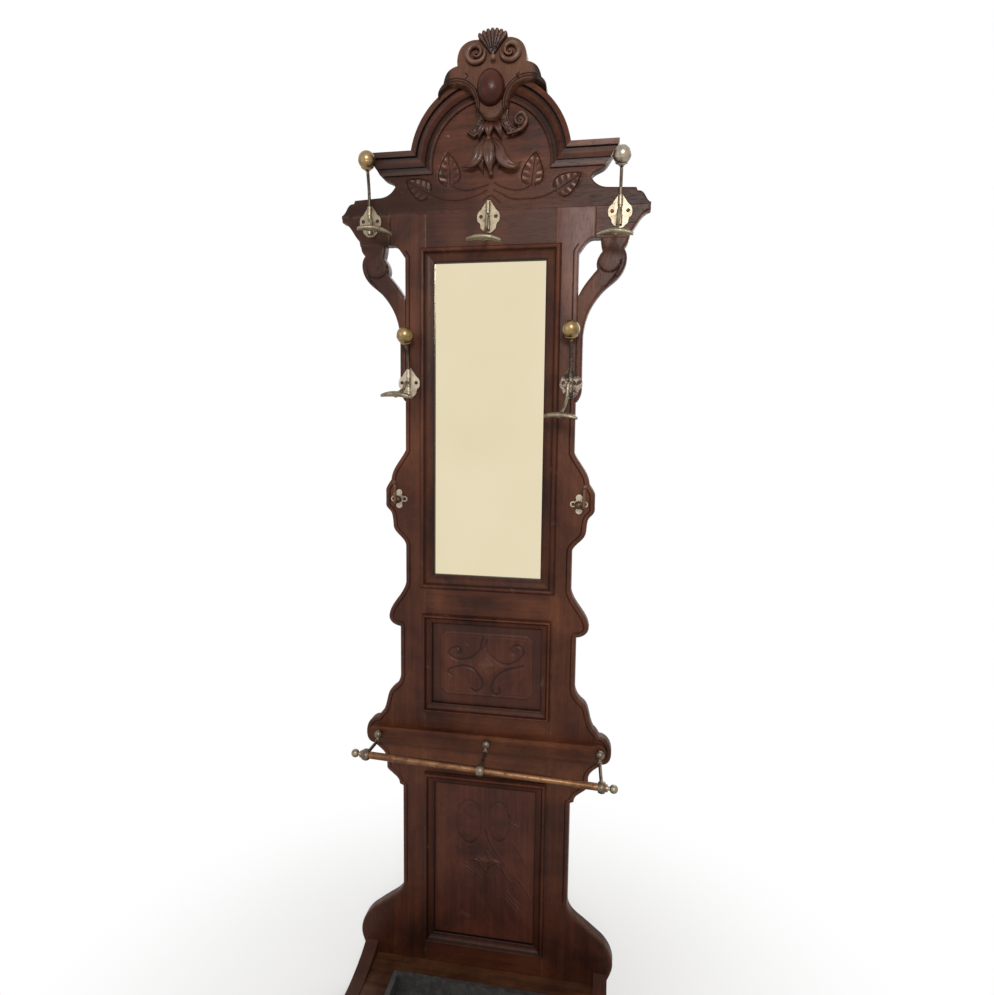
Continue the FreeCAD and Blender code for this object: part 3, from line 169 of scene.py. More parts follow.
def woodFinish(name, grain, look=woodLook, tint=(1, 1, 1), greyed=0.3, share=None, bands=(), paintedSheen=None):
    wood = Finish(bpy.data.materials.new(name))
    pull = wood.stretched(grains[grain])
    streaks = wood.noise(look["streaks"], 7, 0.62, 0.5, pull)
    pores = wood.step(wood.noise(look["pores"], 2, 0.5, 0.2, pull), 0.56, 0.68)
    patches = wood.noise(look["patches"], 5, 0.6, 0.4)
    rub = wood.noise(look["rub"], 4, 0.65)
    upward, sideways = wood.axis("Z"), wood.axis("X")
    streaky, patchy, shift = look["tone"]
    tone = streaks * streaky + patches * patchy - shift
    colour = wood.ramp(tone, *zip(look["stops"], (look["dark"], look["middle"], look["light"])))
    colour = wood.mix(1, colour, tint, "MULTIPLY")
    haze = wood.step(upward, *look["hazeRise"]) * wood.step(patches, 0.35, 0.75) * greyed
    colour = wood.mix(haze, colour, look["grey"])
    # painted shade: the wood is darker near the floor
    floorShade = wood.ramp(wood.step(upward, *look["floorShadeRise"]), (0, look["low"]), (1, (1, 1, 1)))
    colour = wood.mix(1, colour, floorShade, "MULTIPLY")
    # painted shade over the upper left corner
    wing, arm = (wood.step(upward, *rise) * wood.step(sideways, *run) for rise, run in (look["wing"], look["arm"]))
    colour = wood.mix(wood.maths("MAXIMUM", wing, arm) * look["corner"], colour, look["dark"])
    # painted sheen in patches on the right stile's top front
    if paintedSheen:
        colour = wood.mix(paintedSheen(wood) * wood.step(patches, 0.2, 0.7) * look["sheenStrength"], colour, look["paintedSheen"])
    colour = wood.mix(pores * look["filled"], colour, look["dirtAndShade"])
    height = streaks * 0.3 - pores * 0.5 + rub * 0.25
    # a ramp across the board's bands; on the mouldings it gives painted shade in the grooves and painted highlights on
    # the ridges
    if share:
        band = wood.ramp(share(wood), *[(spot, (level,) * 3) for spot, level in bands])
        colour = wood.mix(1, colour, band, "MULTIPLY")
        height = height + wood.node("ShaderNodeRGBToBW", {}, {0: band}) * 1.5
    colour = wood.mix(wood.mark("wear") * wood.step(rub, 0.36, 0.62) * look["rubbed"], colour, look["worn"])
    # dirt and painted shade in the hollows
    colour = wood.mix(wood.mark("hollow"), colour, look["dirtAndShade"])
    specks = wood.step(wood.noise(look["specks"], 3, 0.6, 1.2), 0.71, 0.76)
    scuffs = wood.step(wood.noise(look["scuffMarks"], 6, 0.7, 0.6), 0.6, 0.74)
    colour = wood.mix(specks * look["speckled"] + scuffs * look["scuffs"], colour, look["worn"])
    rough = look["roughness"] + patches * 0.18 + pores * 0.12 + scuffs * 0.12
    return wood.close({"Base Color": colour, "Roughness": rough, "Normal": wood.bump(height, *look["bump"]),
                       "Specular IOR Level": look["specular"]})


# plated or cast metal: clouds of two tones and stained spots, which are rougher and less metallic
def metalFinish(name, bright, dull, stain, scale, shine, cover, pits):
    metal = Finish(bpy.data.materials.new(name))
    cloud = metal.noise(scale, 6, 0.62, 0.3)
    fine = metal.noise(scale * 7, 3, 0.6)
    spots = metal.step(metal.noise(scale * 2.6, 5, 0.7), cover, cover + 0.14)
    colour = metal.mix(metal.step(cloud, 0.38, 0.66), bright, dull)
    colour = metal.mix(spots * pits, colour, stain)
    rough = shine + cloud * 0.22 + spots * 0.28 + fine * 0.06
    relief = metal.bump(fine * 0.5 - spots * 0.6 + cloud * 0.4, 0.25, 0.0004)
    return metal.close({"Base Color": colour, "Roughness": rough, "Metallic": 1 - spots * (0.45 * pits),
                        "Normal": relief})


# old silvering: two cream tones in a wide fog, with dark specks where the fog is thick
mirrorLook = {"clear": (0.80, 0.705, 0.495), "aged": (0.775, 0.675, 0.46), "speck": (0.12, 0.10, 0.08), "fog": 4,
              "specks": 420, "specked": 0.5, "roughness": 0.012}


def mirrorFinish(name, look):
    glass = Finish(bpy.data.materials.new(name))
    fog = glass.noise(look["fog"], 3, 0.5, 0.3)
    specks = glass.step(glass.noise(look["specks"], 3, 0.6), 0.7, 0.76) * glass.step(fog, 0.5, 0.7)
    colour = glass.mix(glass.step(fog, 0.3, 0.75), look["clear"], look["aged"])
    colour = glass.mix(specks * look["specked"], colour, look["speck"])
    return glass.close({"Base Color": colour, "Roughness": look["roughness"] + specks * 0.3, "Metallic": 1.0})


# share across a moulding: 0 at the top of the cornice or the arch's rim, 1 at its foot; its bands are painted shade in
# the grooves and painted highlights on the ridges
cornice = {"width": 0.046, "archCentre": 2.001, "archRadius": 0.175,
           "bands": ((0.0, 0.6), (0.03, 1.0), (0.19, 0.9), (0.235, 0.6), (0.255, 0.22), (0.33, 0.22), (0.36, 0.55),
                     (0.48, 0.95), (0.6, 0.8), (0.665, 0.5), (0.69, 0.25), (0.76, 0.4), (0.84, 0.5), (0.86, 0.25),
                     (0.89, 0.9), (0.97, 0.8), (1.0, 0.35))}


def corniceShare(wood):
    return (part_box("left_cornice")[1].z - wood.axis("Z")) * (1 / cornice["width"])


def archShare(wood):
    flat = wood.node("ShaderNodeVectorMath", {"operation": "MULTIPLY_ADD"},
                     {0: wood.place, 1: (1, 0, 1), 2: (0, 0, -cornice["archCentre"])})
    reach = wood.node("ShaderNodeVectorMath", {"operation": "LENGTH"}, {0: flat}, "Value")
    return (cornice["archRadius"] - reach) * (1 / cornice["width"])


# share across a mitred frame: 1 at its outer edge, 0 at its inner edge; its bands are painted shade in the grooves and
# painted highlights on the ridges
frameShadingBands = ((0.0, 0.12), (0.05, 0.32), (0.12, 0.46), (0.3, 0.56), (0.45, 0.68), (0.56, 0.5), (0.62, 0.22),
              (0.68, 0.5), (0.78, 0.85), (0.88, 1.0), (0.94, 0.7), (0.97, 0.28), (1.0, 0.36))


def frameShare(node, width):
    low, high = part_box(node)
    middle, half = (low + high) / 2, (high - low) / 2

    def share(wood):
        sides = [wood.maths("ABSOLUTE", wood.axis(axis) - spot) - size
                 for axis, spot, size in (("X", middle.x, half.x), ("Z", middle.z, half.z))]
        outer = wood.maths("MAXIMUM", *sides)
        return outer * (1 / width) + 1
    return share


# the right stile's top has a painted sheen on its front, the crest darkens towards its foot and the apron's upper edge
# is rubbed; rise, run and front are ranges along Z, X and Y in metres
sheenAndFades = {"rise": (1.55, 1.9), "run": (0.13, 0.2), "front": (0.149, 0.142), "crestFoot": 1.905, "crestRise": 0.1,
         "crest": ((0.0, 0.5), (0.3, 0.58), (0.9, 0.92), (1.0, 1.0)),
         "apron": ((0.0, 0.9), (0.06, 1.0), (0.2, 0.85), (0.34, 0.62), (0.8, 0.66), (1.0, 0.5))}


def stileSheen(wood):
    return (wood.step(wood.axis("Z"), *sheenAndFades["rise"]) * wood.step(wood.axis("X"), *sheenAndFades["run"])
            * wood.step(wood.axis("Y"), *sheenAndFades["front"]))


def apronShare(wood):
    low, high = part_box("apron_board")
    return (high.z - wood.axis("Z")) * (1 / (high.z - low.z))


def crestShare(wood):
    return (wood.axis("Z") - sheenAndFades["crestFoot"]) * (1 / sheenAndFades["crestRise"])


carvedLook = dict(woodLook, specular=0.14, worn=(0.19, 0.105, 0.072))
glossLook = dict(carvedLook, roughness=0.2, specular=0.3)
archLook = dict(carvedLook, specular=0.12, roughness=0.45)
crestLook = dict(carvedLook, worn=(0.37, 0.24, 0.175))
corniceLook = dict(woodLook, specular=0.3)
frameLook = dict(woodLook, specular=0.14, scuffs=0.35, worn=(0.16, 0.095, 0.066))
eggLook = dict(woodLook, dark=(0.020, 0.0045, 0.0025), middle=(0.046, 0.0096, 0.0044), light=(0.070, 0.017, 0.008),
               roughness=0.2)
panelLook = dict(woodLook, dark=(0.026, 0.0074, 0.0044), middle=(0.060, 0.0172, 0.0092), light=(0.096, 0.030, 0.0150),
                 roughness=0.3, low=(0.85, 0.8, 0.8))
trayLook = dict(woodLook, middle=(0.080, 0.030, 0.013), light=(0.16, 0.065, 0.025), low=(0.8, 0.8, 0.8))
backLook = dict(woodLook, dark=(0.13, 0.075, 0.042), middle=(0.26, 0.165, 0.092), light=(0.36, 0.25, 0.15),
                roughness=0.6)
woodUp = woodFinish("darkWoodUp", "up")
woodRight = woodFinish("rightStileWood", "up", paintedSheen=stileSheen)
woodAcross = woodFinish("darkWoodAcross", "across")
# a darker copy of the rails' finish: painted shade on the top rail
woodTopShaded = woodFinish("topRailWoodShaded", "across", tint=(0.74, 0.72, 0.72))
woodApron = woodFinish("apronWood", "across", frameLook, (1.4, 1.45, 1.45), share=apronShare, bands=sheenAndFades["apron"])
woodForward = woodFinish("darkWoodForward", "forward")
woodCarved = woodFinish("darkWoodCarved", "up", carvedLook, (1.3, 1.7, 2.05), greyed=0.5)
woodDark = woodFinish("darkWoodGloss", "up", glossLook, (1.0, 1.1, 1.2))
woodCornice = woodFinish("corniceWood", "across", corniceLook, (1.7, 1.9, 2.0), share=corniceShare,
                         bands=cornice["bands"])
woodArch = woodFinish("archWood", "across", archLook, (1.4, 1.45, 1.5), share=archShare, bands=cornice["bands"])
woodCrest = woodFinish("crestWood", "across", crestLook, (1.5, 1.55, 1.65), share=crestShare, bands=sheenAndFades["crest"])
woodFrames = {node: woodFinish(node + "Wood", "up", frameLook, (1.25, 1.15, 1.1), share=frameShare(node, width),
                               bands=frameShadingBands)
              for node, width in (("mirror_moulding", 0.033), ("upper_panel_moulding", 0.022),
                                  ("lower_panel_moulding", 0.025))}
woodEgg = woodFinish("redWoodEgg", "up", eggLook, greyed=0.0)
woodPanel = woodFinish("darkWoodPanel", "up", panelLook)
woodTray = woodFinish("brownWoodTray", "across", trayLook)
woodBack = woodFinish("plainBackWood", "up", backLook, greyed=0.0)

# metals: two tones, the stain, then the clouds' scale, the roughness, where the stain sets in and how strong it is
metals = {name: metalFinish(name, *look) for name, look in {
    "wornNickel": ((0.285, 0.232, 0.163), (0.205, 0.162, 0.109), (0.06, 0.043, 0.028), 40, 0.3, 0.57, 0.6),
    "paleNickel": ((0.47, 0.40, 0.31), (0.34, 0.285, 0.215), (0.09, 0.066, 0.046), 40, 0.32, 0.57, 0.6),
    "brownPegs": ((0.15, 0.085, 0.052), (0.075, 0.042, 0.027), (0.03, 0.018, 0.013), 80, 0.3, 0.5, 0.5),
    "stainedNickel": ((0.25, 0.19, 0.15), (0.06, 0.042, 0.031), (0.016, 0.011, 0.008), 24, 0.3, 0.44, 0.9),
    "silverBall": ((0.37, 0.315, 0.245), (0.24, 0.195, 0.15), (0.06, 0.047, 0.035), 50, 0.2, 0.56, 0.6),
    "wornBrass": ((0.31, 0.21, 0.10), (0.20, 0.13, 0.058), (0.05, 0.033, 0.018), 50, 0.22, 0.55, 0.6),
    "pewterBars": ((0.28, 0.235, 0.16), (0.17, 0.135, 0.088), (0.05, 0.038, 0.026), 60, 0.28, 0.54, 0.6),
    "darkIron": ((0.10, 0.078, 0.060), (0.05, 0.037, 0.028), (0.022, 0.016, 0.013), 80, 0.34, 0.5, 0.6),
    "brownBronze": ((0.19, 0.145, 0.108), (0.10, 0.073, 0.053), (0.03, 0.022, 0.017), 60, 0.28, 0.53, 0.6),
    "brownRailBrass": ((0.215, 0.108, 0.055), (0.125, 0.057, 0.029), (0.045, 0.021, 0.012), 30, 0.3, 0.53, 0.6),
    "dullZinc": ((0.13, 0.126, 0.12), (0.08, 0.076, 0.07), (0.04, 0.037, 0.033), 30, 0.42, 0.5, 0.5),
    "darkScrews": ((0.06, 0.045, 0.034), (0.03, 0.022, 0.017), (0.012, 0.009, 0.007), 120, 0.4, 0.5, 0.6),
}.items()}
silvering = mirrorFinish("agedMirror", mirrorLook)
print("finishes ready:", len(bpy.data.materials))


# the flat front of a CAD node: outline loops in mm (x, z), the front and the back plane
def readFront(node):
    mesh = nodes[node].data
    mesh.calc_loop_triangles()
    spots = np.empty(len(mesh.vertices) * 3)
    mesh.vertices.foreach_get("co", spots)
    corners = np.empty(len(mesh.loop_triangles) * 3, int)
    mesh.loop_triangles.foreach_get("vertices", corners)
    spots, same = np.unique(np.round(spots.reshape(-1, 3) * 1000, 2), axis=0, return_inverse=True)
    corners = same.reshape(-1)[corners].reshape(-1, 3)
    front, back = spots[:, 1].min(), spots[:, 1].max()
    flat = corners[(spots[corners][:, :, 1] < front + 0.02).all(1)]
    edges = np.concatenate([flat[:, [0, 1]], flat[:, [1, 2]], flat[:, [2, 0]]])
    ahead = edges[:, 0] * len(spots) + edges[:, 1]
    behind = edges[:, 1] * len(spots) + edges[:, 0]
    after = dict(edges[~np.isin(ahead, behind)].tolist())
    loops = []
    while after:
        point, run = next(iter(after)), []
        while point in after:
            run.append(point)
            point = after.pop(point)
        loop = spots[run][:, [0, 2]]
        turn = np.roll(loop, -1, 0)
        area = (loop[:, 0] * turn[:, 1] - turn[:, 0] * loop[:, 1]).sum() / 2
        loops.append((area, loop))
    least = 0.12 * max(abs(area) for area, loop in loops)   # loops far smaller than the board's own are left out
    outer = [loop if area > 0 else loop[::-1] for area, loop in loops if abs(area) > least]
    return outer, front, back


# points every step along each run of a closed line, corners kept
def spaced(loop, step):
    ahead = np.roll(loop, -1, 0)
    parts = np.maximum(1, np.ceil(np.linalg.norm(ahead - loop, axis=1) / step).astype(int))
    which = np.repeat(np.arange(len(loop)), parts)
    share = (np.arange(parts.sum()) - np.repeat(np.cumsum(parts) - parts, parts)) / parts[which]
    return loop[which] + (ahead[which] - loop[which]) * share[:, None]


# distance from each point to the nearest of many short runs, and that run's number; blocks of points spare memory
def toRuns(points, starts, ends, block=1500):
    far, which = np.empty(len(points)), np.empty(len(points), int)
    along = ends - starts
    square = np.maximum((along ** 2).sum(1), 1e-9)
    for first in range(0, len(points), block):
        away = points[first:first + block, None] - starts[None]
        share = np.clip((away * along).sum(2) / square, 0, 1)
        gap = ((away - share[..., None] * along) ** 2).sum(2)
        which[first:first + block] = gap.argmin(1)
        far[first:first + block] = np.sqrt(gap.min(1))
    return far, which


# even-odd test of points against a closed line
def inside(points, loop, block=3000):
    ahead = np.roll(loop, -1, 0)
    within = np.zeros(len(points), bool)
    for first in range(0, len(points), block):
        x, z = points[first:first + block, 0:1], points[first:first + block, 1:2]
        spans = (loop[:, 1] > z) != (ahead[:, 1] > z)
        rise = np.where(ahead[:, 1] == loop[:, 1], 1, ahead[:, 1] - loop[:, 1])
        cross = loop[:, 0] + (z - loop[:, 1]) / rise * (ahead[:, 0] - loop[:, 0])
        within[first:first + block] = (spans & (x < cross)).sum(1) % 2 == 1
    return within


# smooth curve through points: each span a cubic whose end slopes follow the neighbours
def through(points, spans=10):
    points = np.array(points, float)
    before = np.concatenate([2 * points[:1] - points[1:2], points[:-2]])
    after = np.concatenate([points[2:], 2 * points[-1:] - points[-2:-1]])
    t = np.linspace(0, 1, spans, endpoint=False)[None, :, None]
    a, b = points[:-1, None], points[1:, None]
    slopeA, slopeB = (b - before[:, None]) / 2, (after[:, None] - a) / 2
    curve = ((2 * t ** 3 - 3 * t ** 2 + 1) * a + (t ** 3 - 2 * t ** 2 + t) * slopeA
             + (3 * t ** 2 - 2 * t ** 3) * b + (t ** 3 - t ** 2) * slopeB)
    return np.concatenate([curve.reshape(-1, points.shape[1]), points[-1:]])


# distance of points to the nearest of several drawn lines
def toStrokes(x, z, strokes):
    points = np.stack([x, z], 1)
    starts = np.concatenate([stroke[:-1] for stroke in strokes])
    ends = np.concatenate([stroke[1:] for stroke in strokes])
    return toRuns(points, starts, ends)[0]


# v-shaped cut: full depth on the line, none at half the width
def veeCut(gap, width, depth):
    return -depth * np.clip(1 - gap / (width / 2), 0, 1) ** 0.8


# 0 below low, 1 above high, a cubic between
def smooth(value, low, high):
    share = np.clip((value - low) / (high - low), 0, 1)
    return share * share * (3 - 2 * share)


# faces of a grid; a closed one joins its last column to its first
def gridFaces(rows, columns, closed=False):
    index = np.arange(rows * columns).reshape(rows, columns)
    if closed:
        index = np.concatenate([index, index[:, :1]], 1)
    return np.stack([index[:-1, :-1], index[1:, :-1], index[1:, 1:], index[:-1, 1:]], -1).reshape(-1, 4)


# rings of points joined into a closed skin, with a pole at each end
def skin(rings):
    rows, columns = rings.shape[:2]
    points = np.concatenate([rings.reshape(-1, 3), rings[:1].mean(1), rings[-1:].mean(1)])
    first, last = np.arange(columns), (rows - 1) * columns + np.arange(columns)
    low = np.stack([first, np.roll(first, -1), np.full(columns, rows * columns)], 1)
    high = np.stack([np.roll(last, -1), last, np.full(columns, rows * columns + 1)], 1)
    return points, gridFaces(rows, columns, True).tolist() + low.tolist() + high.tolist()


# several skins as one list of points and faces
def gather(skins):
    points, faces, count = [], [], 0
    for some, joined in skins:
        points.append(some)
        faces += [[corner + count for corner in face] for face in joined]
        count += len(some)
    return np.concatenate(points), faces


# volume under the faces; below nothing means the skin is inside out
def signedVolume(points, faces):
    fans = np.array([(face[0], face[k], face[k + 1]) for face in faces for k in range(1, len(face) - 1)])
    a, b, c = (points[fans[:, k]] for k in range(3))
    return (a * np.cross(b, c)).sum() / 6


# one mesh object from points in mm, at the origin, riding a body and standing for CAD nodes
def makePiece(name, points, faces, finish, slot, replaced=(), body="frame", marks=None, sharp=35):
    if signedVolume(points - points.mean(0), faces) < 0:
        faces = [face[::-1] for face in faces]
    mesh = bpy.data.meshes.new(name)
    mesh.from_pydata((points * 0.001).tolist(), [], faces)
    mesh.polygons.foreach_set("use_smooth", [True] * len(mesh.polygons))
    mesh.set_sharp_from_angle(angle=math.radians(sharp))
    for mark, values in (marks or {}).items():
        mesh.attributes.new(mark, "FLOAT", "POINT").data.foreach_set("value", np.asarray(values, np.float32))
    mesh.materials.append(finish)
    piece = bpy.data.objects.new(name, mesh)
    bpy.context.scene.collection.objects.link(piece)
    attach(piece, body)
    if replaced:
        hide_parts(*replaced)


# what a board has where its own settings say nothing else
board = {"inner": 0, "foot": 0, "top": 9999, "seamEdge": 0.5, "edgeWear": 0.6, "wearRise": 1.6, "wearReach": 2.6,
         "mostWear": 0.8, "mostDirtShade": 0.85, "ringKept": 0.97, "gridClear": 0.35}


# rounding of the edge at points of the outline: small at the inner side, top or foot, where a neighbour joins on
def edgeSize(near, look):
    joined = (np.abs(near[:, 0]) < look["inner"]) | (near[:, 1] > look["top"]) | (near[:, 1] < look["foot"])
    return np.where(joined, look["seamEdge"], look["edge"])


# a sawn board carved on its front: outline points, rings set in from the edge and a field of points are joined
# by triangles; each point stands at the front less the rounding of the edge plus the carving's own height
def carvedBoard(name, node, look, finish, relief=None, fine=None):
    look = {**board, **look}
    loops, front, back = readFront(node)
    grids = [(look["grid"], None)] + ([(look["fineGrid"], fine)] if fine else [])
    skins, allMarks = [], {"wear": [], "hollow": []}
    for loop in loops:
        rim = spaced(loop, look["step"])
        ends = np.roll(rim, -1, 0)
        tangent = ends - np.roll(rim, 1, 0)
        tangent /= np.linalg.norm(tangent, axis=1)[:, None]
        inward = np.stack([-tangent[:, 1], tangent[:, 0]], 1)
        extra = []
        for ring in look["rings"]:
            moved = rim + inward * ring
            extra.append(moved[toRuns(moved, rim, ends)[0] > look["ringKept"] * ring])
        low, high = rim.min(0), rim.max(0)
        for step, chosen in grids:
            x, z = np.meshgrid(np.arange(low[0], high[0], step), np.arange(low[1], high[1], step))
            x[1::2] += step / 2
            field = np.stack([x.ravel(), z.ravel()], 1)
            if chosen:
                field = field[chosen(field[:, 0], field[:, 1])]
            if len(field):
                extra.append(field[toRuns(field, rim, ends)[0] > look["rings"][-1] + look["gridClear"] * step])
        extra = np.concatenate(extra)
        extra = extra[inside(extra, rim)]
        count = len(rim)
        flat = np.concatenate([rim, extra])
        order = [(k, (k + 1) % count) for k in range(count)]
        spots, _, faces, origin, _, _ = delaunay_2d_cdt([Vector(p) for p in flat.tolist()], order, [], 1, 1e-4)
        spots = np.array([tuple(p) for p in spots])
        where = np.full(len(flat), -1)
        where[np.concatenate(origin).astype(int)] = np.repeat(np.arange(len(origin)), [len(olds) for olds in origin])
        rimOut = where[:count]
        gap, run = toRuns(spots, rim, ends)
        gap[rimOut] = 0
        near = rim[run]
        size = edgeSize(near, look)
        soft = np.clip(size - gap, 0, None)
        height = -(size - np.sqrt(np.clip(size ** 2 - soft ** 2, 0, None)))
        carved = relief(spots[:, 0], spots[:, 1], gap, near) if relief else np.zeros(len(spots))
        top = np.stack([spots[:, 0], front - height - carved, spots[:, 1]], 1)
        # walls: the rim's points repeated at the back; the back is closed by the rim's own triangles
        foot = np.stack([rim[:, 0], np.full(count, back), rim[:, 1]], 1)
        footAt = len(spots) + np.arange(count)
        walls = np.stack([rimOut, footAt, np.roll(footAt, -1), np.roll(rimOut, -1)], 1)
        _, _, caps, capOrigin, _, _ = delaunay_2d_cdt([Vector(p) for p in rim.tolist()], order, [], 1, 1e-4)
        first = np.array([olds[0] for olds in capOrigin])
        cap = [[int(footAt[first[k]]) for k in face[::-1]] for face in caps]
        skins.append((np.concatenate([top, foot]), [list(face) for face in faces] + walls.tolist() + cap))
        wear = np.exp(-gap / look["wearReach"]) * look["edgeWear"]
        wear = np.clip(wear + np.clip(carved / look["wearRise"], 0, look["mostWear"]), 0, 1)
        # dirt and painted shade grow with the depth of the cut
        dirtAndShade = np.clip(-carved / look["dirtShadeDepth"], 0, look["mostDirtShade"])
        for mark, values in (("wear", wear), ("hollow", dirtAndShade)):
            allMarks[mark].append(np.concatenate([values, np.zeros(count)]))
    points, faces = gather(skins)
    marks = {mark: np.concatenate(parts) for mark, parts in allMarks.items()}
    makePiece(name, points, faces, finish, "dark_wood", [node], marks=marks)
    print("carved", name, len(points), "points")


# stiles: sawn edges rounded, with a cut line that follows them
stile = {"step": 2.4, "rings": (1.0, 2.6, 5.0, 8.6, 10.6, 12.6), "grid": 9.0, "inner": 150, "top": 1900, "edge": 4.5,
         "line": 10.6, "lineWidth": 3.6, "lineDepth": 1.7, "lineFrom": 318, "lineTo": 1822, "dirtShadeDepth": 1.7,
         "edgeWear": 0.35}


def stileRelief(x, z, gap, near):
    sawn = (np.abs(near[:, 0]) > stile["inner"]) & (near[:, 1] > stile["lineFrom"]) & (near[:, 1] < stile["lineTo"])
    return np.where(sawn, veeCut(np.abs(gap - stile["line"]), stile["lineWidth"], stile["lineDepth"]), 0)


for side, finish in (("left", woodUp), ("right", woodRight)):
    carvedBoard(side + "StileBoard", side + "_stile", stile, finish, stileRelief)


# crest board: engraved leaves on stems in the field under the arch
crest = {"step": 2.4, "rings": (0.8, 2.2, 4.2), "grid": 9.0, "fineGrid": 1.35, "edge": 3.5, "foot": 1906,
         "stemWidth": 3.4, "stemDepth": 1.4, "dirtShadeDepth": 2.0, "edgeWear": 0.12, "leafReach": 2.2,
         "fineField": (205, 1908, 2036), "fineStem": 3.2, "fineLeaf": 3.0}
crestLeaves = [   # light: how worn the lobes are on either side of the rib
    {"base": (-90, 1962), "tip": (-94, 2029), "half": 24.0, "light": (1.0, 0.05)},
    {"base": (88, 1953), "tip": (97, 2020), "half": 23.0, "light": (0.9, 0.8)},
    {"base": (-136, 1944), "tip": (-190, 1976), "half": 22.0, "light": (0.0, 0.45)},
    {"base": (142, 1939), "tip": (194, 1972), "half": 22.0, "light": (1.0, 0.9)},
]
crestStems = [through(line) for line in (
    [(-5, 1958), (-23, 1954), (-45, 1949), (-60, 1949), (-78, 1955), (-90, 1962)],
    [(8, 1962), (21, 1954), (43, 1946), (60, 1944), (77, 1947), (88, 1954)],
    [(-7, 1947), (-27, 1938), (-63, 1929), (-96, 1930), (-119, 1937), (-136, 1945)],
    [(6, 1947), (21, 1940), (43, 1928), (65, 1925), (101, 1926), (125, 1933), (142, 1940)],
    [(-16, 1927), (-7, 1932), (2, 1936)], [(2, 1936), (11, 1929), (21, 1919)])]
leafCut = {"rootPower": 0.38, "tipPower": 0.95, "swell": 2.216,   # swell brings the widest place to the leaf's half
           "outline": 3.6, "outlineDepth": 1.9, "beats": 4.8, "start": 0.55, "lean": 0.5, "leastLobe": 0.15,
           "lobe": 1.5, "rim": 1.1, "rimAt": 2.4, "rimWidth": 0.7, "vein": 0.9, "ribWidth": 2.4, "ribDepth": 1.2}


# leaf coordinates: share along the middle line, distance across it, and the half width there, which grows as a
# root near the base and runs to a point at the tip
def leafPlace(x, z, leaf):
    base, tip = np.array(leaf["base"], float), np.array(leaf["tip"], float)
    length = np.linalg.norm(tip - base)
    axis = (tip - base) / length
    along = ((x - base[0]) * axis[0] + (z - base[1]) * axis[1]) / length
    across = (x - base[0]) * axis[1] - (z - base[1]) * axis[0]
    share = np.clip(along, 1e-4, 1)
    half = leaf["half"] * leafCut["swell"] * share ** leafCut["rootPower"] * (1 - share) ** leafCut["tipPower"]
    beyond = np.maximum(np.maximum(-along, along - 1), 0) * length
    return along, across, half, np.hypot(np.abs(across) - half, beyond) * np.sign(np.abs(across) - half + beyond)


# a leaf: outline and rib are cuts; along each side lobes swell and veins sink in turn, and the rim is worn
def leafRelief(x, z, leaf):
    along, across, half, gap = leafPlace(x, z, leaf)
    cut = veeCut(np.abs(gap), leafCut["outline"], leafCut["outlineDepth"])
    share = np.abs(across) / np.maximum(half, 1)
    beat = leafCut["beats"] * along - leafCut["start"] - leafCut["lean"] * share
    beat = 0.5 + 0.5 * np.cos(2 * math.pi * beat)
    worn = np.where(across > 0, leaf["light"][1], leaf["light"][0])
    lobes = smooth(beat, 0.62, 0.9) * smooth(share, 0.3, 0.5) * smooth(-gap, 0.8, 1.8)
    rim = np.exp(-((gap + leafCut["rimAt"]) / leafCut["rimWidth"]) ** 2) * smooth(along, 0.05, 0.2)
    raised = np.maximum((leafCut["leastLobe"] + worn * leafCut["lobe"]) * lobes, worn * leafCut["rim"] * rim)
    veins = -leafCut["vein"] * (1 - smooth(beat, 0.02, 0.16)) * smooth(share, 0.2, 0.4) * smooth(-gap, 0.2, 1.2)
    rib = veeCut(np.abs(across), leafCut["ribWidth"], leafCut["ribDepth"]) * smooth(-gap, 0.4, 1.6)
    return cut + raised + np.minimum(veins, rib)


def crestRelief(x, z, gap, near):
    height = veeCut(toStrokes(x, z, crestStems), crest["stemWidth"], crest["stemDepth"])
    for leaf in crestLeaves:
        height = np.where(leafPlace(x, z, leaf)[3] < crest["leafReach"], leafRelief(x, z, leaf), height)
    return height


def crestFine(x, z):
    run, low, high = crest["fineField"]
    close = (np.abs(x) < run) & (z > low) & (z < high)
    chosen = np.zeros(len(x), bool)
    chosen[close] = toStrokes(x[close], z[close], crestStems) < crest["fineStem"]
    for leaf in crestLeaves:
        chosen |= leafPlace(x, z, leaf)[3] < crest["fineLeaf"]
    return chosen


carvedBoard("crestBoard", "crest_board", crest, woodCrest, crestRelief, crestFine)

# arm blocks and braces: rounded edges; the brace has a raised disc in a cut ring and one long cut line
block = {"step": 2.0, "rings": (0.8, 2.0, 4.0), "grid": 8.0, "edge": 4.0, "seamEdge": 0.6, "inner": 230, "top": 1902,
         "foot": 1841, "dirtShadeDepth": 2.0}
brace = {"step": 2.0, "rings": (1.0, 2.4, 5.0), "grid": 5.0, "fineGrid": 1.4, "edge": 5.5, "seamEdge": 0.6,
         "inner": 195, "top": 1838.5, "disc": (258, 1793), "discRadius": 26, "dome": 1.6, "ring": 0.94,
         "ringTurn": (52, -176, 40),
         "tail": ((281, 1786), (272, 1764), (250, 1736), (229, 1704), (216, 1668), (210, 1630), (207, 1585)),
         "width": 4.0, "depth": 2.2, "fine": 3.4, "dirtShadeDepth": 1.8, "edgeWear": 0.3, "wearRise": 12}


# the cut ring and line of the right brace; way -1 mirrors them for the left one
def braceStrokes(way):
    turn = np.radians(np.linspace(*brace["ringTurn"]))
    reach = brace["discRadius"] * brace["ring"]
    ring = np.stack([brace["disc"][0] - reach * np.cos(turn), brace["disc"][1] + reach * np.sin(turn)], 1)
    return [stroke * (way, 1) for stroke in (ring, through(brace["tail"]))]


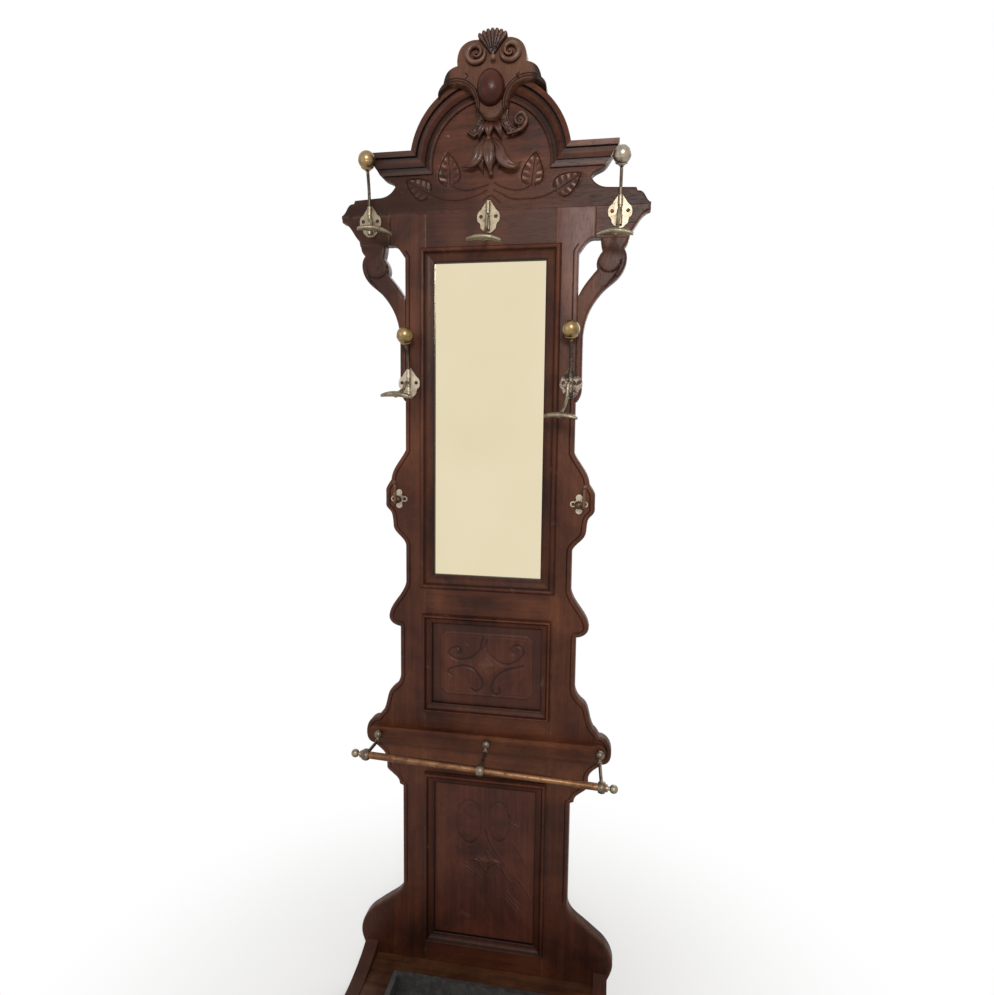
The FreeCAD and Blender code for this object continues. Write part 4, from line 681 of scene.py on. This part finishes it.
for side, way in (("left", -1), ("right", 1)):
    strokes = braceStrokes(way)

    def braceRelief(x, z, gap, near, way=way, strokes=strokes):
        disc = np.hypot(x - way * brace["disc"][0], z - brace["disc"][1]) / brace["discRadius"]
        dome = brace["dome"] * np.sqrt(np.clip(1 - disc ** 2, 0, 1))
        return dome + veeCut(toStrokes(x, z, strokes), brace["width"], brace["depth"])

    def braceFine(x, z, strokes=strokes):
        return toStrokes(x, z, strokes) < brace["fine"]

    carvedBoard(side + "ArmBlock", side + "_arm_block", block, woodAcross)
    carvedBoard(side + "Brace", side + "_brace", brace, woodUp, braceRelief, braceFine)
print("boards done")

# cartouche: cut double lines round each eye and along the tongue, two comma nicks, a crack; its ears fall back
shield = {"step": 1.6, "rings": (0.8, 2.0, 4.0), "grid": 4.0, "fineGrid": 1.3, "edge": 4.5, "middle": 6, "eyes": 77,
          "eyeHeight": 2108, "eyeRadius": 44, "lines": (4.2, 9.0), "width": 3.0, "depth": 2.0, "lineReach": 96,
          "tongueTop": 2098, "tongueLine": 5.0, "tongueCut": (2.6, 1.2),
          "nicks": ((-46, 2165, -1), (61, 2158, 1)), "nickCut": (4.0, 1.8),
          "crack": ((-42, 2112), (59, 2106)), "crackCut": (1.6, 0.7),
          "earFall": 5.0, "earRun": (80, 112), "earRise": (2126, 2150),
          "fineLine": 2.6, "fineCrack": (2100, 2118), "fineNicks": (2146, 2174, 70), "dirtShadeDepth": 1.6, "edgeWear": 0.7}


def shieldLines(x, z):
    gaps = []
    for way in (-1, 1):
        out = np.hypot(x - shield["middle"] - way * shield["eyes"], z - shield["eyeHeight"]) - shield["eyeRadius"]
        gaps += [np.abs(out - line) for line in shield["lines"]]
    return np.minimum.reduce(gaps)


def shieldRelief(x, z, gap, near):
    off = np.abs(x - shield["middle"])
    lines = np.where(off < shield["lineReach"], veeCut(shieldLines(x, z), shield["width"], shield["depth"]), 0)
    tongue = np.where(z < shield["tongueTop"], veeCut(np.abs(gap - shield["tongueLine"]), *shield["tongueCut"]), 0)
    height = np.minimum(lines, tongue)
    for nickX, nickZ, way in shield["nicks"]:
        comma = through([(nickX + way * 3, nickZ + 5), (nickX - way * 2, nickZ), (nickX + way * 3, nickZ - 6)])
        height += veeCut(toStrokes(x, z, [comma]), *shield["nickCut"])
    height += veeCut(toStrokes(x, z, [np.array(shield["crack"], float)]), *shield["crackCut"])
    return height - shield["earFall"] * smooth(off, *shield["earRun"]) * smooth(z, *shield["earRise"])


def shieldFine(x, z):
    (crackLow, crackHigh), (nickLow, nickHigh, nickRun) = shield["fineCrack"], shield["fineNicks"]
    nicks = (z > nickLow) & (z < nickHigh) & (np.abs(x - shield["middle"]) < nickRun)
    return (shieldLines(x, z) < shield["fineLine"]) | ((z > crackLow) & (z < crackHigh)) | nicks


carvedBoard("cartouche", "cartouche", shield, woodCarved, shieldRelief, shieldFine)

# palmette: leaves parted by cuts, each with a rounded back and a fine rib, sunk at the root and raised at the tips
fan = {"step": 1.2, "rings": (0.7, 1.8), "grid": 1.3, "edge": 2.2, "middle": 10, "root": 2196, "leaves": 7,
       "spread": 78, "round": 0.6, "cut": 2.8, "cutFrom": (4, 18), "dip": 2.2, "dipTo": (6, 36), "tip": 0.8,
       "tipFrom": (34, 54), "rib": 0.5, "ribWidth": 0.07, "sink": 0.7, "dirtShadeDepth": 3.2,
       "bead": (12, 47, 2191), "beadRadius": 6}


def fanRelief(x, z, gap, near):
    out = np.hypot(x - fan["middle"], z - fan["root"])
    turn = np.degrees(np.arctan2(x - fan["middle"], z - fan["root"]))
    share = (turn / fan["spread"] + 0.5) * fan["leaves"]
    back = np.abs(np.sin(math.pi * share)) ** fan["round"]
    rib = np.exp(-((share % 1 - 0.5) / fan["ribWidth"]) ** 2)
    cuts = fan["cut"] * (1 - back) * smooth(out, *fan["cutFrom"])
    dip = fan["dip"] * (1 - smooth(out, *fan["dipTo"]))
    return fan["tip"] * smooth(out, *fan["tipFrom"]) - cuts - dip - fan["rib"] * rib - fan["sink"]


carvedBoard("palmette", "palmette", fan, woodDark, fanRelief)


# a section carried along a flat bent line: across the line it reaches one half size, outward from the face the other
def sweep(path, halfAcross, halfOut, u, v):
    ahead = np.gradient(path, axis=0)
    ahead /= np.linalg.norm(ahead, axis=1)[:, None]
    across = np.cross(ahead, np.array([0.0, -1.0, 0.0]))
    across /= np.linalg.norm(across, axis=1)[:, None]
    outward = np.cross(across, ahead)
    return skin(path[:, None] + across[:, None] * (halfAcross[:, None] * u)[..., None]
                + outward[:, None] * (halfOut[:, None] * v)[..., None])


# ball: rings from pole to pole
def ballSkin(centre, radius, rings=18, spokes=28):
    tilt = np.linspace(-math.pi / 2, math.pi / 2, rings + 2)[1:-1, None]
    turn = np.linspace(0, 2 * math.pi, spokes, endpoint=False)[None]
    shape = np.stack([np.cos(tilt) * np.cos(turn), np.cos(tilt) * np.sin(turn), np.sin(tilt) * np.ones_like(turn)], -1)
    return skin(np.array(centre) + radius * shape)


# a round band: an ellipse carried along a flat line at one depth
def roundBand(line, depth, widths, look):
    path = np.stack([line[:, 0], np.full(len(line), depth), line[:, 1]], 1)
    turn = np.linspace(0, 2 * math.pi, look["sides"], endpoint=False)
    return sweep(path, widths / 2, np.full(len(path), look["thick"]), np.cos(turn), np.sin(turn))


# a few values spread evenly over many places, straight between
def evenly(values, count):
    return np.interp(np.linspace(0, 1, count), np.linspace(0, 1, len(values)), values)


# marks of a carving in the round: dirt and painted shade thin with the height above its foot, wear sets in near its
# top
def roundMarks(rise, look):
    return {"hollow": np.clip(look["dirtAndShade"] - rise / look["dirtShadeFade"], 0, 0.8),
            "wear": smooth(rise, *look["wearFrom"]) * look["wear"]}


# volutes: a round band that thins as it follows a spiral to its eye, with the palmette's bead between the two
volutes = {"out": 40.5, "thick": 6.4, "turns": 1.5, "reach": (19.5, 17.8, 18.0, 14.4, 10.6, 8.0, 4.0),
           "width": (8.4, 10.8, 11.6, 9.6, 7.0, 5.8, 4.6), "curls": (((-25, 2204), 10, -1), ((46, 2204), 170, 1)),
           "steps": 120, "taper": (0.4, 1, 10), "sides": 20, "eye": 3.6, "eyeOut": 1.5,
           "dirtAndShade": 0.8, "dirtShadeFade": 5, "wearFrom": (4.0, 6.4), "wear": 0.7}
curlReach, curlWidth = (evenly(volutes[part], volutes["steps"]) for part in ("reach", "width"))
curlWidth[:volutes["taper"][2]] *= np.linspace(*volutes["taper"])
curlTurn = np.linspace(0, 2 * math.pi * volutes["turns"], volutes["steps"])
curlDepth = faceY - volutes["out"]
curlSkins = []
for (middleX, middleZ), start, way in volutes["curls"]:
    angle = math.radians(start) + way * curlTurn
    line = np.stack([middleX + curlReach * np.cos(angle), middleZ + curlReach * np.sin(angle)], 1)
    curlSkins.append(roundBand(line, curlDepth, curlWidth, volutes))
    curlSkins.append(ballSkin((middleX, curlDepth - volutes["eyeOut"], middleZ), volutes["eye"]))
curlSkins.append(ballSkin((fan["bead"][0], faceY - fan["bead"][1], fan["bead"][2]), fan["beadRadius"]))
curlPoints, curlFaces = gather(curlSkins)
makePiece("palmetteVolutes", curlPoints, curlFaces, woodDark, "dark_wood", ["palmette"],
          marks=roundMarks(curlDepth - curlPoints[:, 1], volutes), sharp=60)

# straps: a sunk channel between raised borders holds a row of square studs; the right one ends in a sunk disc
strap = {"step": 1.0, "rings": (0.6, 1.6, 2.6), "grid": 1.1, "edge": 1.4, "eyes": ((67, 2092), (-55, 2092)),
         "boss": (69, 2082), "bossRadius": 11.5, "bandRadius": 36.5, "sunk": 1.7, "border": (2.0, 3.0),
         "stud": (3.4, 4.7), "studRise": 2.2, "studs": ((188, 209, 230, 250), (354, 332, 310)), "dirtShadeDepth": 2.4}


def strapRelief(x, z, gap, near):
    height = -strap["sunk"] * smooth(gap, *strap["border"])
    for (eyeX, eyeZ), turns in zip(strap["eyes"], strap["studs"]):
        for turn in turns:
            acrossX, acrossZ = math.cos(math.radians(turn)), math.sin(math.radians(turn))
            offX = x - eyeX - strap["bandRadius"] * acrossX
            offZ = z - eyeZ - strap["bandRadius"] * acrossZ
            edge = np.maximum(np.abs(offX * acrossX + offZ * acrossZ), np.abs(offZ * acrossX - offX * acrossZ))
            height = np.maximum(height, strap["studRise"] * (1 - smooth(edge, *strap["stud"])) - strap["sunk"])
    boss = np.hypot(x - strap["boss"][0], z - strap["boss"][1]) / strap["bossRadius"]
    return np.where(boss < 1, -strap["sunk"], height)


carvedBoard("strapwork", "strapwork", strap, woodDark, strapRelief)

# the right strap's end: a round band that curls twice and thins towards its eye
scroll = {"line": ((38, 2053), (56, 2057), (71, 2065), (78.5, 2080), (69, 2094), (56, 2088), (57, 2075), (66, 2071),
                   (71, 2078), (66, 2083)),
          "width": (5.0, 7.0, 9.0, 9.6, 9.0, 8.0, 6.6, 5.6, 4.6, 4.0), "thick": 4.6, "sides": 18, "sink": 1.2,
          "spans": 12, "dirtAndShade": 0.8, "dirtShadeFade": 3.6, "wearFrom": (2.6, 4.6), "wear": 0.9}
scrollLine = through(scroll["line"], scroll["spans"])
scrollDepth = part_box("strapwork")[0].y * 1000 + scroll["sink"]
scrollPoints, scrollFaces = roundBand(scrollLine, scrollDepth, evenly(scroll["width"], len(scrollLine)), scroll)
makePiece("strapScroll", scrollPoints, scrollFaces, woodCarved, "dark_wood", ["strapwork"],
          marks=roundMarks(scrollDepth - scrollPoints[:, 1], scroll), sharp=60)


# egg: half of an egg; across the surface the ring angle goes round and the height angle goes from the rim to the top
egg = {"rings": 40, "spokes": 72, "point": 0.03, "round": 0.94, "dirtAndShade": 0.85, "rimShadeTo": 0.5}


def eggSkin():
    low, high = (np.array(corner) * 1000 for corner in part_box("egg_boss"))
    middle, half = (low + high) / 2, (high - low) / 2
    tilt = np.linspace(0, math.pi / 2, egg["rings"])[:, None]
    turn = np.linspace(0, 2 * math.pi, egg["spokes"], endpoint=False)[None]
    swell = 1 - egg["point"] * np.sin(turn) * np.cos(tilt) ** 2
    x = middle[0] + half[0] * np.cos(tilt) ** egg["round"] * np.cos(turn) * swell
    z = middle[2] + half[2] * np.cos(tilt) ** egg["round"] * np.sin(turn)
    y = high[1] - (high[1] - low[1]) * np.sin(tilt) * np.ones_like(turn)
    return skin(np.stack([x, y, z], -1))


eggPoints, eggFaces = eggSkin()
eggRise = (eggPoints[:, 1].max() - eggPoints[:, 1]) / np.ptp(eggPoints[:, 1])
# painted shade darkens the egg towards its rim, where it meets the board
makePiece("eggBoss", eggPoints, eggFaces, woodEgg, "dark_wood", ["egg_boss"],
          marks={"hollow": egg["dirtAndShade"] * (1 - smooth(eggRise, 0.0, egg["rimShadeTo"]))})


# a leaf in the round: a lens-shaped section with a sunk rib is carried along a bent line; it widens as a sine and
# closes at the tip
shell = {"foot": 0.25, "rows": 36, "columns": 24, "ribDepth": 0.4, "ribWidth": 0.2, "closed": 0.0009}


def leafShell(line, width, thick):
    path = through(line, shell["rows"] // (len(line) - 1))
    t = np.linspace(0, 1, len(path))
    spread = shell["foot"] + (1 - shell["foot"]) * np.sin(math.pi * t ** 0.75)
    spread = width / 2 * spread * np.sqrt(np.clip(1 - t ** 3, shell["closed"], 1))
    body = thick / 2 * np.sqrt(np.clip(1 - t ** 2.5, shell["closed"], 1))
    turn = np.linspace(0, 2 * math.pi, shell["columns"], endpoint=False)
    dip = 1 - shell["ribDepth"] * np.exp(-(np.cos(turn) / shell["ribWidth"]) ** 2) * (np.sin(turn) > 0)
    return sweep(path, spread, body, np.cos(turn), np.sin(turn) * dip)


# bellflower: a cap of leaves over a bell of drooping ones with curled tips, in mm across, forward of the face and up
flower = {
    "cap": [([(0, 6, 2088), (-1, 15, 2074), (-2, 17, 2060), (-2, 10, 2046)], 22, 12),
            ([(-4, 6, 2088), (-13, 13, 2076), (-20, 15, 2062), (-25, 8, 2047)], 19, 11),
            ([(6, 6, 2088), (15, 13, 2076), (21, 15, 2062), (25, 8, 2045)], 19, 11)],
    "bell": [([(-2, 4, 2050), (-1, 9, 2030), (0, 10, 2008), (0, 5, 1982)], 52, 18),
             ([(-6, 7, 2046), (-18, 12, 2020), (-19, 13, 2000), (-14, 6, 1979)], 22, 10),
             ([(6, 7, 2046), (18, 12, 2020), (21, 13, 2004), (18, 6, 1988)], 22, 10),
             ([(-8, 9, 2046), (-20, 17, 2027), (-25, 20, 2008), (-39, 19, 1994), (-62, 12, 1993)], 25, 12),
             ([(8, 9, 2046), (21, 17, 2025), (27, 20, 2006), (43, 20, 1991), (57, 18, 1988), (69, 13, 1997)], 25, 12),
             ([(-1, 12, 2046), (-1, 20, 2026), (1, 22, 1998), (4, 14, 1971)], 27, 13)],
    "beads": [((4, 13, 1976), 5.0), ((-2, 13, 2047), 6.5)],
    "dirtAndShade": 1.15, "dirtShadeFade": 15, "wearFrom": (20, 28), "wear": 0.45,
}


def flowerPoint(spot):
    return spot[0], faceY - spot[1], spot[2]


flowerSkins = [leafShell([flowerPoint(spot) for spot in line], width, thick)
               for part in ("cap", "bell") for line, width, thick in flower[part]]
flowerSkins += [ballSkin(flowerPoint(spot), radius) for spot, radius in flower["beads"]]
flowerPoints, flowerFaces = gather(flowerSkins)
makePiece("bellflower", flowerPoints, flowerFaces, woodDark, "dark_wood", ["bellflower_drop"],
          marks=roundMarks(faceY - flowerPoints[:, 1], flower), sharp=60)
print("carvings done")

# panels: a grid of points over the front; each stands out by the carving's height there
panel = {"markDepth": 2.4, "dirtAndShade": 0.5, "wearFrom": 0.35, "wear": 0.22}
upper = {"step": 1.3, "star": {"middle": (0, 884), "half": (64, 56), "rise": 1.6, "core": 24, "peak": 6.0},
         "field": (109, 75, 14), "fieldFall": 1.6, "border": (6, 1.2), "borderDepth": 0.9,
         "scrollCut": (7.4, 2.6), "nickCut": (4.0, 1.3)}
upperStrokes = [through(line) for line in (
    [(2, 945), (0, 927), (9, 910), (27, 896), (48, 889), (74, 900), (88, 919), (82, 933), (68, 935), (59, 926),
     (65, 917)],
    [(-8, 948), (-12, 936), (-15, 920), (-33, 901), (-57, 893), (-78, 896), (-90, 908), (-84, 918), (-69, 923),
     (-60, 914), (-66, 906)],
    [(-82, 853), (-91, 862), (-84, 870), (-57, 878), (-32, 874), (-17, 857), (-9, 842), (-12, 826), (-25, 818),
     (-35, 824)],
    [(88, 888), (80, 885), (54, 877), (30, 863), (16, 841), (13, 826), (22, 815), (34, 820), (31, 830)])]
upperNicks = [through(line) for line in ([(-88, 850), (-80, 842), (-84, 832)], [(75, 840), (84, 847), (86, 856)],
                                         [(-50, 936), (-40, 929), (-33, 919)], [(68, 918), (74, 923), (72, 929)])]
lower = {"step": 1.5, "star": {"middle": (2, 397), "half": (44, 42), "rise": 1.5, "core": 17, "peak": 4.5},
         "ovals": ((-37, 491, 30, 52), (35, 498, 24, 48)), "dome": 1.1, "groove": 1.3, "grooveAt": (1.04, 0.06),
         "ring": (-31, 518, 15), "ringCut": (1.0, 1.8), "stemWidth": (3.0, 5.0), "stemRise": (490, 575),
         "stemDepth": 1.8, "leafCut": (4.2, 1.8), "raised": 1.5, "raisedWidth": 2.2, "raisedOff": (2.4, 1.6)}
lowerStem = through([(1, 576), (1, 534), (1, 487)])
lowerStrokes = [through(line) for line in (
    [(1, 487), (8, 454), (22, 426), (46, 395)], [(0, 480), (-5, 456), (-19, 437), (-38, 425)],
    [(5, 417), (15, 401), (38, 392)], [(41, 380), (54, 358), (64, 346)], [(-64, 378), (-40, 369), (-24, 356)],
    [(-49, 383), (-27, 368), (-12, 348)], [(-24, 396), (-8, 384), (4, 366)], [(-34, 401), (-20, 401), (-5, 398)],
    [(42, 321), (61, 301), (84, 279)], [(50, 323), (68, 305), (87, 289)], [(60, 501), (72, 493), (83, 489)],
    [(58, 521), (65, 505), (84, 494)], [(66, 448), (82, 427), (99, 392)], [(74, 361), (96, 337), (113, 305)],
    [(-58, 254), (-46, 247), (-35, 244)])]


# a star: a low curved diamond with a pyramid in its middle
def starRelief(x, z, star):
    offX, offZ = np.abs(x - star["middle"][0]), np.abs(z - star["middle"][1])
    diamond = (offX / star["half"][0]) ** 0.667 + (offZ / star["half"][1]) ** 0.667
    return (star["rise"] * smooth(1 - diamond, 0, 0.2)
            + star["peak"] * np.clip(1 - (offX + offZ) / star["core"], 0, 1))


# the star, with wide v cut scrolls round it, on a field with cut corners and a fine border line
def upperRelief(x, z):
    wide, tall, corner = upper["field"]
    pastX = np.abs(x - upper["star"]["middle"][0]) - wide
    pastZ = np.abs(z - upper["star"]["middle"][1]) - tall
    edge = np.maximum(np.maximum(pastX, pastZ), (pastX + pastZ + corner) * 0.707)
    borderAt, borderWidth = upper["border"]
    field = (-upper["fieldFall"] * smooth(edge, -1.5, 1.5)
             - upper["borderDepth"] * np.exp(-((edge + borderAt) / borderWidth) ** 2))
    scrolls = veeCut(toStrokes(x, z, upperStrokes), *upper["scrollCut"])
    nicks = veeCut(toStrokes(x, z, upperNicks), *upper["nickCut"])
    return starRelief(x, z, upper["star"]) + field + np.minimum(scrolls, nicks)


# two low oval domes, each in a soft groove, a ring on the left one, a star, a tapered stem cut and worn leaf cuts
# with one raised side
def lowerRelief(x, z):
    height = starRelief(x, z, lower["star"])
    grooveAt, grooveWidth = lower["grooveAt"]
    for middleX, middleZ, halfX, halfZ in lower["ovals"]:
        out = np.hypot((x - middleX) / halfX, (z - middleZ) / halfZ)
        height += lower["dome"] * np.clip(1 - out ** 2, 0, 1) ** 0.5
        height -= lower["groove"] * np.exp(-((out - grooveAt) / grooveWidth) ** 2)
    ringX, ringZ, ringRadius = lower["ring"]
    ringDepth, ringWidth = lower["ringCut"]
    height -= ringDepth * np.exp(-((np.hypot(x - ringX, z - ringZ) - ringRadius) / ringWidth) ** 2)
    foot, flare = lower["stemWidth"]
    stem = veeCut(toStrokes(x, z, [lowerStem]), foot + flare * smooth(z, *lower["stemRise"]), lower["stemDepth"])
    leaves = veeCut(toStrokes(x, z, lowerStrokes), *lower["leafCut"])
    beside = toStrokes(x - lower["raisedOff"][0], z - lower["raisedOff"][1], lowerStrokes)
    return height + np.minimum(stem, leaves) + lower["raised"] * np.exp(-(beside / lower["raisedWidth"]) ** 2)


def carvedPanel(name, node, look, relief):
    low, high = (np.array(corner) * 1000 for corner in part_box(node))
    columns, rows = (int((high[k] - low[k]) / look["step"]) for k in (0, 2))
    x, z = np.meshgrid(np.linspace(low[0], high[0], columns), np.linspace(low[2], high[2], rows))
    height = relief(x.ravel(), z.ravel()).reshape(x.shape)
    height[[0, -1]] = 0
    height[:, [0, -1]] = 0
    front = np.stack([x, low[1] - height, z], -1).reshape(-1, 3)
    rim = np.concatenate([np.arange(columns), np.arange(1, rows) * columns + columns - 1,
                          (rows - 1) * columns + np.arange(columns - 2, -1, -1), np.arange(rows - 2, 0, -1) * columns])
    behind = front[rim] * (1, 0, 1) + (0, high[1], 0)
    footAt = len(front) + np.arange(len(rim))
    walls = np.stack([rim, footAt, np.roll(footAt, -1), np.roll(rim, -1)], 1)
    faces = gridFaces(rows, columns)[:, ::-1].tolist() + walls.tolist() + [footAt[::-1].tolist()]
    points = np.concatenate([front, behind])
    share = np.concatenate([height.ravel() / panel["markDepth"], np.zeros(len(rim))])
    # dirt and painted shade in the cuts, wear on the raised parts
    marks = {"hollow": np.clip(-share, 0, 1) * panel["dirtAndShade"],
             "wear": np.clip(share - panel["wearFrom"], 0, 1) * panel["wear"]}
    makePiece(name, points, faces, woodPanel, "dark_wood", [node], marks=marks, sharp=60)
    print("panel", name, len(points), "points")


carvedPanel("upperPanel", "upper_panel", upper, upperRelief)
carvedPanel("lowerPanel", "lower_panel", lower, lowerRelief)


# rod: a round section carried along a smooth line, its radius given along the way
def rodSkin(path, radius, columns=24):
    ahead = np.gradient(path, axis=0)
    ahead /= np.linalg.norm(ahead, axis=1)[:, None]
    first = np.cross(ahead, np.array([1.0, 0.0, 0.0]))
    first /= np.linalg.norm(first, axis=1)[:, None]
    second = np.cross(ahead, first)
    turn = np.linspace(0, 2 * math.pi, columns, endpoint=False)
    return skin(path[:, None] + radius[:, None, None] * (first[:, None] * np.cos(turn)[None, :, None]
                                                        + second[:, None] * np.sin(turn)[None, :, None]))


# ball prongs: a rod bent forward from the plate; the ball's profile is a circle, a shade larger below its seam, that
# runs through a hollow neck into the rod
prongs = {"ball": 18.8, "foot": 29.0, "pinForward": 8.6, "ballForward": 37.6, "rod": 3.4, "knee": 0.35, "upper": 0.97,
          "neckFrom": 0.7, "neckTo": 1.36, "neckWide": 0.714, "flare": 0.62, "flareBend": 1.3, "lap": 0.1,
          "hooks": {   # plate's place, the ball's lean and rise, the ball's and the rod's metal, the ball's slot
              "top_left": (-271, 1891, 6, 118, "wornBrass", "darkIron", "ball_brass"),
              "top_right": (277, 1891, 1, 98.5, "silverBall", "brownBronze", "nickel_plate"),
              "middle_left": (-182.2, 1536, 1.5, 101, "wornBrass", "darkIron", "ball_brass"),
              "middle_right": (183, 1536, 0, 110, "wornBrass", "darkIron", "ball_brass")}}
below = np.concatenate([np.cos(np.linspace(math.pi - 0.05, math.pi / 2, 24)),
                        np.linspace(0.04, prongs["neckTo"], 40)])   # depths under the ball's middle, in its radius
circle = np.sqrt(np.clip(1 - below ** 2, 0, 1)) * np.where(below < 0, prongs["upper"], 1.0)
slope = 1 - smooth(below, prongs["neckFrom"], prongs["neckTo"])
slope = prongs["flare"] * slope ** prongs["flareBend"] + prongs["rod"] / prongs["ball"]
profile = np.where(below < prongs["neckFrom"], np.maximum(circle, 0.02),
                   np.maximum(np.minimum(slope, prongs["neckWide"]), circle * 0.98))
for hook, (hookX, hookZ, lean, rise, ballMetal, rodMetal, ballSlot) in prongs["hooks"].items():
    node = hook + "_ball_prong"
    ball = np.array([hookX + lean, faceY - prongs["ballForward"], hookZ + rise])
    foot = np.array([hookX, faceY - prongs["pinForward"], hookZ + prongs["foot"]])
    knee = foot + (0, 0, prongs["knee"] * (rise - prongs["foot"]))
    way = (ball - knee) / np.linalg.norm(ball - knee)
    ballParts = rodSkin(ball - way * (below * prongs["ball"])[:, None], profile * prongs["ball"], 44)
    makePiece(hook + "Ball", *ballParts, metals[ballMetal], ballSlot, [node], sharp=60)
    end = ball - way * prongs["ball"] * (prongs["neckTo"] - prongs["lap"])
    path = through([foot, foot * 0.45 + knee * 0.55, knee * 0.75 + end * 0.25, end], 14)
    rodParts = rodSkin(path, np.full(len(path), prongs["rod"]))
    makePiece(hook + "Rod", *rodParts, metals[rodMetal], "dark_iron", [node], sharp=60)
print("ball prongs done")

# every CAD node that stays gets its finish
stays = {
    woodAcross: ["mirror_rail", "middle_rail", "bottom_rail", "front_board"],
    woodTopShaded: ["top_rail"],
    woodApron: ["apron_board"],
    woodCornice: ["left_cornice", "right_cornice"],
    woodArch: ["arch_moulding"],
    **{finish: [node] for node, finish in woodFrames.items()},
    woodForward: ["left_cheek", "right_cheek"],
    woodTray: ["tray_board"],
    woodBack: ["mirror_backboard", "crest_dowels"],
    silvering: ["mirror_glass"],
    metals["wornNickel"]: ["top_left_hook_plate", "top_right_hook_plate", "centre_hook_plate"],
    metals["paleNickel"]: ["middle_left_hook_plate", "left_peg_plate", "right_peg_plate"],
    metals["stainedNickel"]: ["middle_right_hook_plate"],
    metals["pewterBars"]: ["top_left_hook_arm", "top_right_hook_arm", "centre_hook_arm", "middle_left_hook_arm",
                           "middle_right_hook_arm", "rail_finials"],
    metals["brownPegs"]: ["left_peg", "right_peg"],
    metals["brownBronze"]: ["left_rail_bracket", "centre_rail_bracket", "right_rail_bracket"],
    metals["brownRailBrass"]: ["umbrella_rail"],
    metals["dullZinc"]: ["drip_pan"],
    metals["darkScrews"]: ["hook_screws", "hook_pins"],
}
for finish, names in stays.items():
    for name in names:
        nodes[name].data.materials.clear()
        nodes[name].data.materials.append(finish)
print("nodes dressed:", sum(len(names) for names in stays.values()), "of", len(nodes), "and the others replaced")

# stage: a pale floor that turns to plain white away from the stand
stage = {"floor": 14.0, "pale": (0.86, 0.855, 0.845), "near": 0.35, "far": 1.2, "skyLight": 0.55, "skySeen": 1.0}
floorFinish = Finish(bpy.data.materials.new("paleFloor"))
away = floorFinish.node("ShaderNodeVectorMath", {"operation": "LENGTH"}, {0: floorFinish.place}, "Value")
fade = floorFinish.step(away, stage["near"], stage["far"]) * floorFinish.seen()
paint = floorFinish.node("ShaderNodeBsdfDiffuse", {}, {"Color": stage["pale"]})
white = floorFinish.node("ShaderNodeEmission", {}, {"Color": (1, 1, 1), "Strength": 1.0})
both = floorFinish.node("ShaderNodeMixShader", {}, {0: fade, 1: paint, 2: white})
floorFinish.node("ShaderNodeOutputMaterial", {}, {"Surface": both})
floorMesh = bpy.data.meshes.new("floor")
floorMesh.from_pydata([(x * stage["floor"], y * stage["floor"], 0) for x, y in ((-1, -1), (1, -1), (1, 1), (-1, 1))],
                      [], [(0, 1, 2, 3)])
floorMesh.materials.append(floorFinish.owner)
floor = bpy.data.objects.new("floor", floorMesh)
bpy.context.scene.collection.objects.link(floor)

# world: white where it is seen or mirrored, softer where it lights
sky = Finish(bpy.data.worlds.new("studio"))
strength = sky.node("ShaderNodeMapRange", {}, {"Value": sky.seen(), "To Min": stage["skyLight"],
                                               "To Max": stage["skySeen"]})
glow = sky.node("ShaderNodeBackground", {}, {"Color": (1, 1, 1), "Strength": strength})
sky.node("ShaderNodeOutputWorld", {}, {"Surface": glow})
bpy.context.scene.world = sky.owner

lamps = {   # place, aim, size in metres, watts
    "keyLamp": ((0.62, -2.9, 2.62), (0.1, 0.0, 1.4), 0.8, 68),
    "fillLamp": ((-2.6, -2.2, 1.7), (0.0, 0.1, 1.0), 2.2, 14),
    "backLamp": ((0.8, 3.0, 2.8), (0.0, 0.1, 1.2), 2.4, 50),
}
for name, (spot, aim, size, watts) in lamps.items():
    lamp = bpy.data.lights.new(name, "AREA")
    lamp.size = size
    lamp.energy = watts
    holder = bpy.data.objects.new(name, lamp)
    holder.location = spot
    holder.rotation_euler = (Vector(aim) - Vector(spot)).to_track_quat("-Z", "Y").to_euler()
    bpy.context.scene.collection.objects.link(holder)

# camera: the photograph's place, turn and lens
shot = {"place": (0.2827, -1.3463, 1.4432), "turn": (83.781, -0.660, 10.113), "lens": 24.084}
lens = bpy.data.cameras.new("shot")
lens.sensor_fit = "HORIZONTAL"
lens.sensor_width = 36
lens.lens = shot["lens"]
lens.clip_start = 0.01
camera = bpy.data.objects.new("shot", lens)
camera.location = shot["place"]
camera.rotation_euler = [math.radians(angle) for angle in shot["turn"]]
bpy.context.scene.collection.objects.link(camera)
bpy.context.scene.camera = camera
bpy.context.scene.view_settings.view_transform = "Standard"
print("stage, lamps and camera set")
